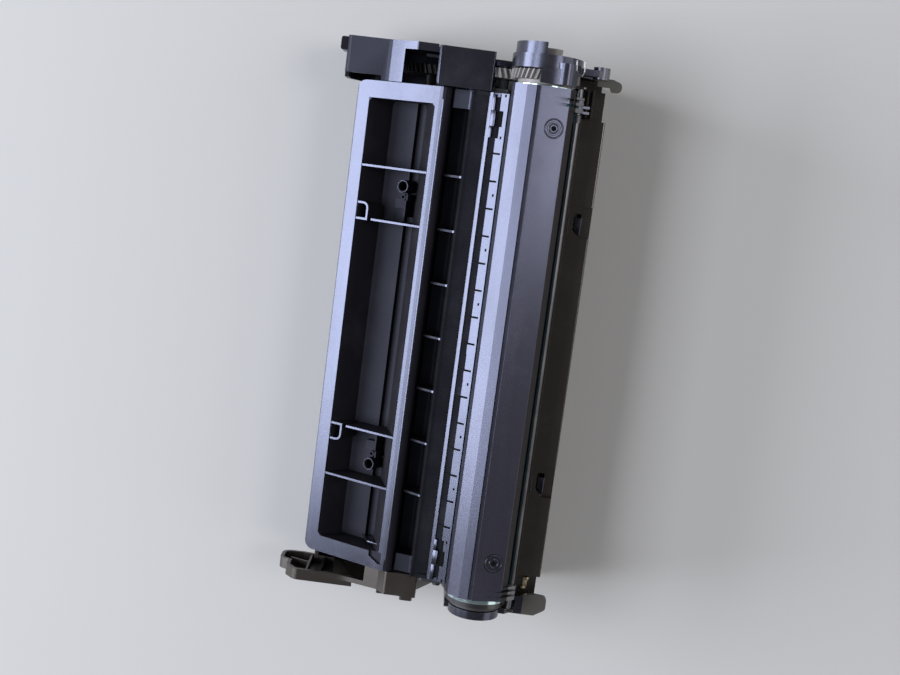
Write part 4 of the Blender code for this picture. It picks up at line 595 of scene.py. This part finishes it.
def finish_piece(work, name, node, material, edge=0.0):
    """Turn a bmesh into a piece that rides with a solid, with its sharp edges rounded by a width."""
    if edge:
        sharp = [item for item in work.edges
                 if item.is_manifold and item.calc_face_angle() > SHARP_ANGLE_RADIANS]
        bmesh.ops.bevel(work, geom=sharp, offset=edge * MM, segments=BEVEL_SEGMENTS, profile=0.5,
                        affect="EDGES", material=-1)
    bmesh.ops.recalc_face_normals(work, faces=work.faces)
    mesh = bpy.data.meshes.new(name)
    work.to_mesh(mesh)
    work.free()
    for face in mesh.polygons:
        face.use_smooth = True
    mesh.set_sharp_from_angle(angle=math.radians(SMOOTH_ANGLE))
    piece = bpy.data.objects.new(name, mesh)
    bpy.context.scene.collection.objects.link(piece)
    dress_like(piece, node, material)


class CARTRIDGE_OT_finishes(bpy.types.Operator):
    """Make the node groups and the materials"""

    bl_idname = "cartridge.finishes"
    bl_label = "Finishes"

    def execute(self, context):
        mould = context.scene.cartridge_moulding
        metal = context.scene.cartridge_metal
        make_moulded_group()
        make_metal_group()
        make_region_group()
        grain = mould.grain
        satin = {"roughness": mould.roughness, "grain": grain, "depth": 8 * MICRON}
        sheet = {"grain": grain * 0.8, "depth": 8 * MICRON, "smears": 0.3}
        make_black("black_plastic", mould.black, **satin)
        make_black("gloss_plastic", mould.gloss_black, roughness=mould.gloss, grain=grain, depth=5 * MICRON)
        # Weaker, duller shine beyond 2 mm towards the hopper: partly the band's matte finish, partly painted
        # shade cast by the drive side cover
        make_black("frame_plastic", mould.gloss_black, roughness=0.42, grain=grain, depth=5 * MICRON,
                   level=0.35)
        make_black("shutter_plastic", mould.shutter, roughness=0.26, **sheet)
        # Painted shade: a dark, dull band along the shutter's edge by the rod, where the gap beside it lies
        # in shade
        make_black("shutter_groove_plastic", mould.bin, roughness=0.5, level=0.2, **sheet)
        make_black("shutter_edge_plastic", mould.olive, roughness=0.26, **sheet)
        # Painted shade: the cover's arm beyond 42 mm towards the hopper gets a weak shine, so that it renders
        # darker
        make_black("cover_arm_plastic", mould.black, roughness=0.3, grain=grain, depth=8 * MICRON, level=0.35)
        # Painted shade: the tray's floor below the lid's rim gets a rough, weak shine, for the shade that the
        # tray's walls cast on it
        make_black("tray_plastic", mould.black, roughness=0.62, grain=grain, depth=8 * MICRON, level=0.3)
        make_black("bin_plastic", mould.bin, smears=0.3, shine=WARM_SHINE, **satin)
        make_black("plate_plastic", mould.black, **satin)
        paint_beyond("plate_plastic", TO_FIN, TAB_START, {"Base Color": mould.olive[:]})
        make_black("cover_plastic", mould.bin, roughness=0.34, grain=grain, depth=10 * MICRON, smears=0.3,
                   shine=WARM_SHINE)
        # Painted shade: the near-black of the strip's cuts and groove, the gates' holes and grooves, and the
        # seal
        matte = make_plastic("matte_black", PAINTED_SHADE_BLACK, roughness=0.8, grain=grain, depth=4 * MICRON,
                             smears=0.0)
        matte.node_tree.nodes["Principled BSDF"].inputs["Specular IOR Level"].default_value = 0.12
        make_plastic("charcoal_plastic", mould.charcoal, roughness=0.45, grain=grain, depth=20 * MICRON)
        make_plastic("gear_plastic", mould.brown, roughness=0.38, grain=grain, depth=12 * MICRON, smears=0.8)
        make_plastic("pale_plastic", mould.pale, roughness=0.42, grain=grain, depth=12 * MICRON, smears=0.4)
        make_plastic("white_plastic", mould.white, roughness=0.4, grain=grain, depth=10 * MICRON, smears=0.3)
        make_plastic("roller_rubber", metal.rubber, roughness=0.72, grain=grain * 0.4, depth=20 * MICRON,
                     smears=0.6)
        make_plastic("blade_rubber", metal.amber, roughness=0.48, grain=grain, depth=8 * MICRON, smears=0.4)
        make_plastic("clear_film", metal.film, roughness=0.3, grain=grain, depth=4 * MICRON, smears=0.4)
        make_plastic("drum_coat", metal.coat, roughness=0.16, grain=grain, depth=MICRON, smears=0.2, coat=0.6)
        for way in (-1.0, 1.0):
            paint_beyond("drum_coat", (way, 0.0, 0.0), COATED_HALF,
                         {"Base Color": metal.tube[:], "Metallic": 0.9, "Roughness": 0.16})
        paint_beyond("drum_coat", (-1.0, 0.0, 0.0), TUBE_END,
                     {"Base Color": mould.black[:], "Metallic": 0.0, "Roughness": 0.4})
        make_metal("ground_steel", metal.steel, roughness=0.14, lines=(5000.0, 40.0, 40.0))
        make_metal("dark_steel", metal.dark, roughness=0.34, lines=(5000.0, 40.0, 40.0))
        make_metal("zinc_plate", metal.zinc, roughness=0.4, lines=(30.0, 2500.0, 2500.0))
        make_metal("contact_metal", metal.gold, roughness=0.3, lines=(600.0, 600.0, 600.0))
        return {"FINISHED"}


class CARTRIDGE_OT_mouldings(bpy.types.Operator):
    """Dress every solid with its finish, and round the edges of the solids listed"""

    bl_idname = "cartridge.mouldings"
    bl_label = "Mouldings"

    def execute(self, context):
        edge = context.scene.cartridge_moulding.edge
        for node, item in frame["nodes"].items():
            if node in ROUNDED_NODES:
                share_of_edge, angle = ROUNDED_NODES[node]
                piece = rounded_copy(node, edge * share_of_edge, math.radians(angle))
                dress_like(piece, node, NODE_FINISH[node])
                paint_zones(piece, node)
                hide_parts(node)
            else:
                item.data.materials.clear()
                item.data.materials.append(bpy.data.materials[NODE_FINISH[node]])
        return {"FINISHED"}


class CARTRIDGE_OT_details(bpy.types.Operator):
    """Add the small marks, rings, clip, rib, rims, contact, seal and notch blocks; the strip's marks, the
    gates' holes and the seal are near-black painted shade
    """

    bl_idname = "cartridge.details"
    bl_label = "Details"

    def execute(self, context):
        marks = bmesh.new()
        for column in range(-TICKS_EACH_WAY, TICKS_EACH_WAY + 1):
            add_slab(marks, (column * TICK_PITCH, *TICK_AT), TICK_SIZE, STRIP_LEAN)
        for distance in MARKS:
            for way in (-1, 1):
                add_slab(marks, (way * distance, *MARK_AT), MARK_SIZE, STRIP_LEAN)
        ledges = bmesh.new()
        for near, far, edge, dark in STRIP_STEPS:
            for way in (-1, 1):
                middle = way * (STRIP_END - (near + far) / 2)
                rise = STRIP_FALL * (edge - LEDGE_START) / 2
                add_slab(ledges, (middle, -(LEDGE_START + edge) / 2, LEDGE_HEIGHT + rise),
                         (far - near, (edge - LEDGE_START) * STRIP_STRETCH, LEDGE_THICK), STRIP_LEAN)
                place = (DARK_START + dark) / 2
                add_slab(marks, (middle, -place, DARK_HEIGHT + STRIP_FALL * (place - DARK_REFERENCE)),
                         (far - near, dark - DARK_START, DARK_THICK), STRIP_LEAN)
        # Near-black slabs: painted shade in the strip's cuts and groove
        finish_piece(marks, "strip_ticks", "developer_frame", "matte_black", edge=0.06)
        finish_piece(ledges, "strip_ledges", "developer_frame", "gloss_plastic", edge=0.08)

        rings = bmesh.new()
        holes = bmesh.new()
        for along in GATES:
            centre = (along, *GATE_AT)
            for radius, thick in GATE_RINGS:
                add_bead(rings, centre, SHUTTER_NORMAL, radius, thick)
            # Near-black disc and beads: painted shade in the gate's hole and grooves
            add_disc(holes, centre, SHUTTER_NORMAL, *GATE_HOLE)
            for radius, thick in GATE_GROOVES:
                add_bead(holes, centre, SHUTTER_NORMAL, radius, thick)
        finish_piece(rings, "shutter_gate_rings", "drum_shutter", "black_plastic")
        finish_piece(holes, "shutter_gate_holes", "drum_shutter", "matte_black")

        clip = bmesh.new()
        add_wire(clip, CLIP, CLIP_RADIUS)
        finish_piece(clip, "plate_clip", "drum_plate_drive", "ground_steel")

        rib = bmesh.new()
        corners = [rib.verts.new(Vector((GUSSET_X, *lid_point(*point))) * MM) for point in GUSSET]
        face = rib.faces.new(corners)
        grown = bmesh.ops.extrude_face_region(rib, geom=[face])
        moved = [item for item in grown["geom"] if isinstance(item, bmesh.types.BMVert)]
        bmesh.ops.translate(rib, verts=moved, vec=(GUSSET_THICK * MM, 0.0, 0.0))
        finish_piece(rib, "tray_gusset", "hopper_lid", "black_plastic", edge=0.15)

        tops = bmesh.new()
        for along in POST_X:
            add_bead(tops, (along, *lid_point(POST_S, POST_TOP)), LID_NORMAL, *POST_RIM)
        finish_piece(tops, "post_rims", "hopper_lid", "black_plastic")

        contact = bmesh.new()
        for centre, size in CONTACT_SLABS:
            add_slab(contact, centre, size)
        finish_piece(contact, "ground_contact", "waste_bin", "contact_metal", edge=0.25)

        # Painted shade: a seal film beside the drum, made near-black for the shade in the gap next to the rod
        seal = bmesh.new()
        for centre, size in SEAL_SLABS:
            add_slab(seal, centre, size)
        finish_piece(seal, "drum_seal", "waste_bin", "matte_black")

        blocks = bmesh.new()
        for along in NOTCHES:
            for centre, size in NOTCH_SLABS:
                add_slab(blocks, (along, *centre), size, NOTCH_LEAN)
        finish_piece(blocks, "notch_blocks", "waste_bin", "black_plastic", edge=0.3)
        return {"FINISHED"}


class CARTRIDGE_OT_stage(bpy.types.Operator):
    """Make the floor, the lamps and the camera"""

    bl_idname = "cartridge.stage"
    bl_label = "Stage"

    def execute(self, context):
        stage = context.scene.cartridge_stage
        low = solid_box[0].z
        work = bmesh.new()
        bmesh.ops.create_grid(work, x_segments=1, y_segments=1, size=FLOOR_HALF)
        bmesh.ops.translate(work, verts=work.verts, vec=(0.0, 0.0, low - FLOOR_GAP))
        mesh = bpy.data.meshes.new("floor")
        work.to_mesh(mesh)
        work.free()
        floor = bpy.data.objects.new("floor", mesh)
        context.scene.collection.objects.link(floor)
        material = bpy.data.materials.new("floor_paint")
        material.use_nodes = True
        shader = material.node_tree.nodes["Principled BSDF"]
        shader.inputs["Base Color"].default_value = (*stage.floor, 1.0)
        shader.inputs["Roughness"].default_value = FLOOR_ROUGHNESS
        mesh.materials.append(material)

        world = bpy.data.worlds.new("room")
        context.scene.world = world
        world.use_nodes = True
        sky = world.node_tree.nodes["Background"]
        sky.inputs["Color"].default_value = SKY_TINT
        sky.inputs["Strength"].default_value = stage.sky
        for name, place, target, size, setting, tint in LAMPS:
            add_lamp(name, place, target, size, getattr(stage, setting), tint)

        camera = bpy.data.cameras.new("camera")
        camera.lens = stage.lens
        camera.sensor_width = SENSOR_WIDTH
        viewer = bpy.data.objects.new("camera", camera)
        context.scene.collection.objects.link(viewer)
        right = Vector(CAMERA_RIGHT)
        up = Vector(CAMERA_UP)
        turn = Matrix((right, up, right.cross(up))).transposed().to_4x4()
        viewer.matrix_world = Matrix.Translation(CAMERA_PLACE) @ turn
        context.scene.camera = viewer
        context.scene.view_settings.view_transform = "Standard"
        return {"FINISHED"}


def add_lamp(name, place, target, size, energy, tint):
    """A rectangular lamp aimed at a point."""
    light = bpy.data.lights.new(name, "AREA")
    light.shape = "RECTANGLE"
    light.size, light.size_y = size
    light.energy = energy
    light.color = tint
    lamp = bpy.data.objects.new(name, light)
    bpy.context.scene.collection.objects.link(lamp)
    lamp.location = place
    lamp.rotation_euler = (Vector(target) - Vector(place)).to_track_quat("-Z", "Y").to_euler()


class CARTRIDGE_PT_panel(bpy.types.Panel):
    """Lists the steps that build the cartridge"""

    bl_idname = "CARTRIDGE_PT_panel"
    bl_label = "Toner cartridge"
    bl_space_type = "VIEW_3D"
    bl_region_type = "UI"
    bl_category = "Cartridge"

    def draw(self, context):
        for operator in STEPS:
            self.layout.operator(operator.bl_idname)
        for settings in SETTINGS:
            box = self.layout.box()
            group = getattr(context.scene, settings)
            for name in group.bl_rna.properties.keys():
                if name not in ("rna_type", "name"):
                    box.prop(group, name)


SETTINGS = {"cartridge_moulding": MouldingSettings, "cartridge_metal": MetalSettings,
            "cartridge_stage": StageSettings}
STEPS = (CARTRIDGE_OT_finishes, CARTRIDGE_OT_mouldings, CARTRIDGE_OT_details, CARTRIDGE_OT_stage)


def register():
    """Register the settings, the steps and the panel."""
    for name, group in SETTINGS.items():
        bpy.utils.register_class(group)
        setattr(bpy.types.Scene, name, bpy.props.PointerProperty(type=group))
    for operator in STEPS:
        bpy.utils.register_class(operator)
    bpy.utils.register_class(CARTRIDGE_PT_panel)


def unregister():
    """Take the panel, the steps and the settings away again."""
    bpy.utils.unregister_class(CARTRIDGE_PT_panel)
    for operator in reversed(STEPS):
        bpy.utils.unregister_class(operator)
    for name, group in SETTINGS.items():
        delattr(bpy.types.Scene, name)
        bpy.utils.unregister_class(group)


def main():
    """Run every step."""
    register()
    bpy.ops.cartridge.finishes()
    bpy.ops.cartridge.mouldings()
    bpy.ops.cartridge.details()
    bpy.ops.cartridge.stage()


if __name__ == "__main__":
    main()
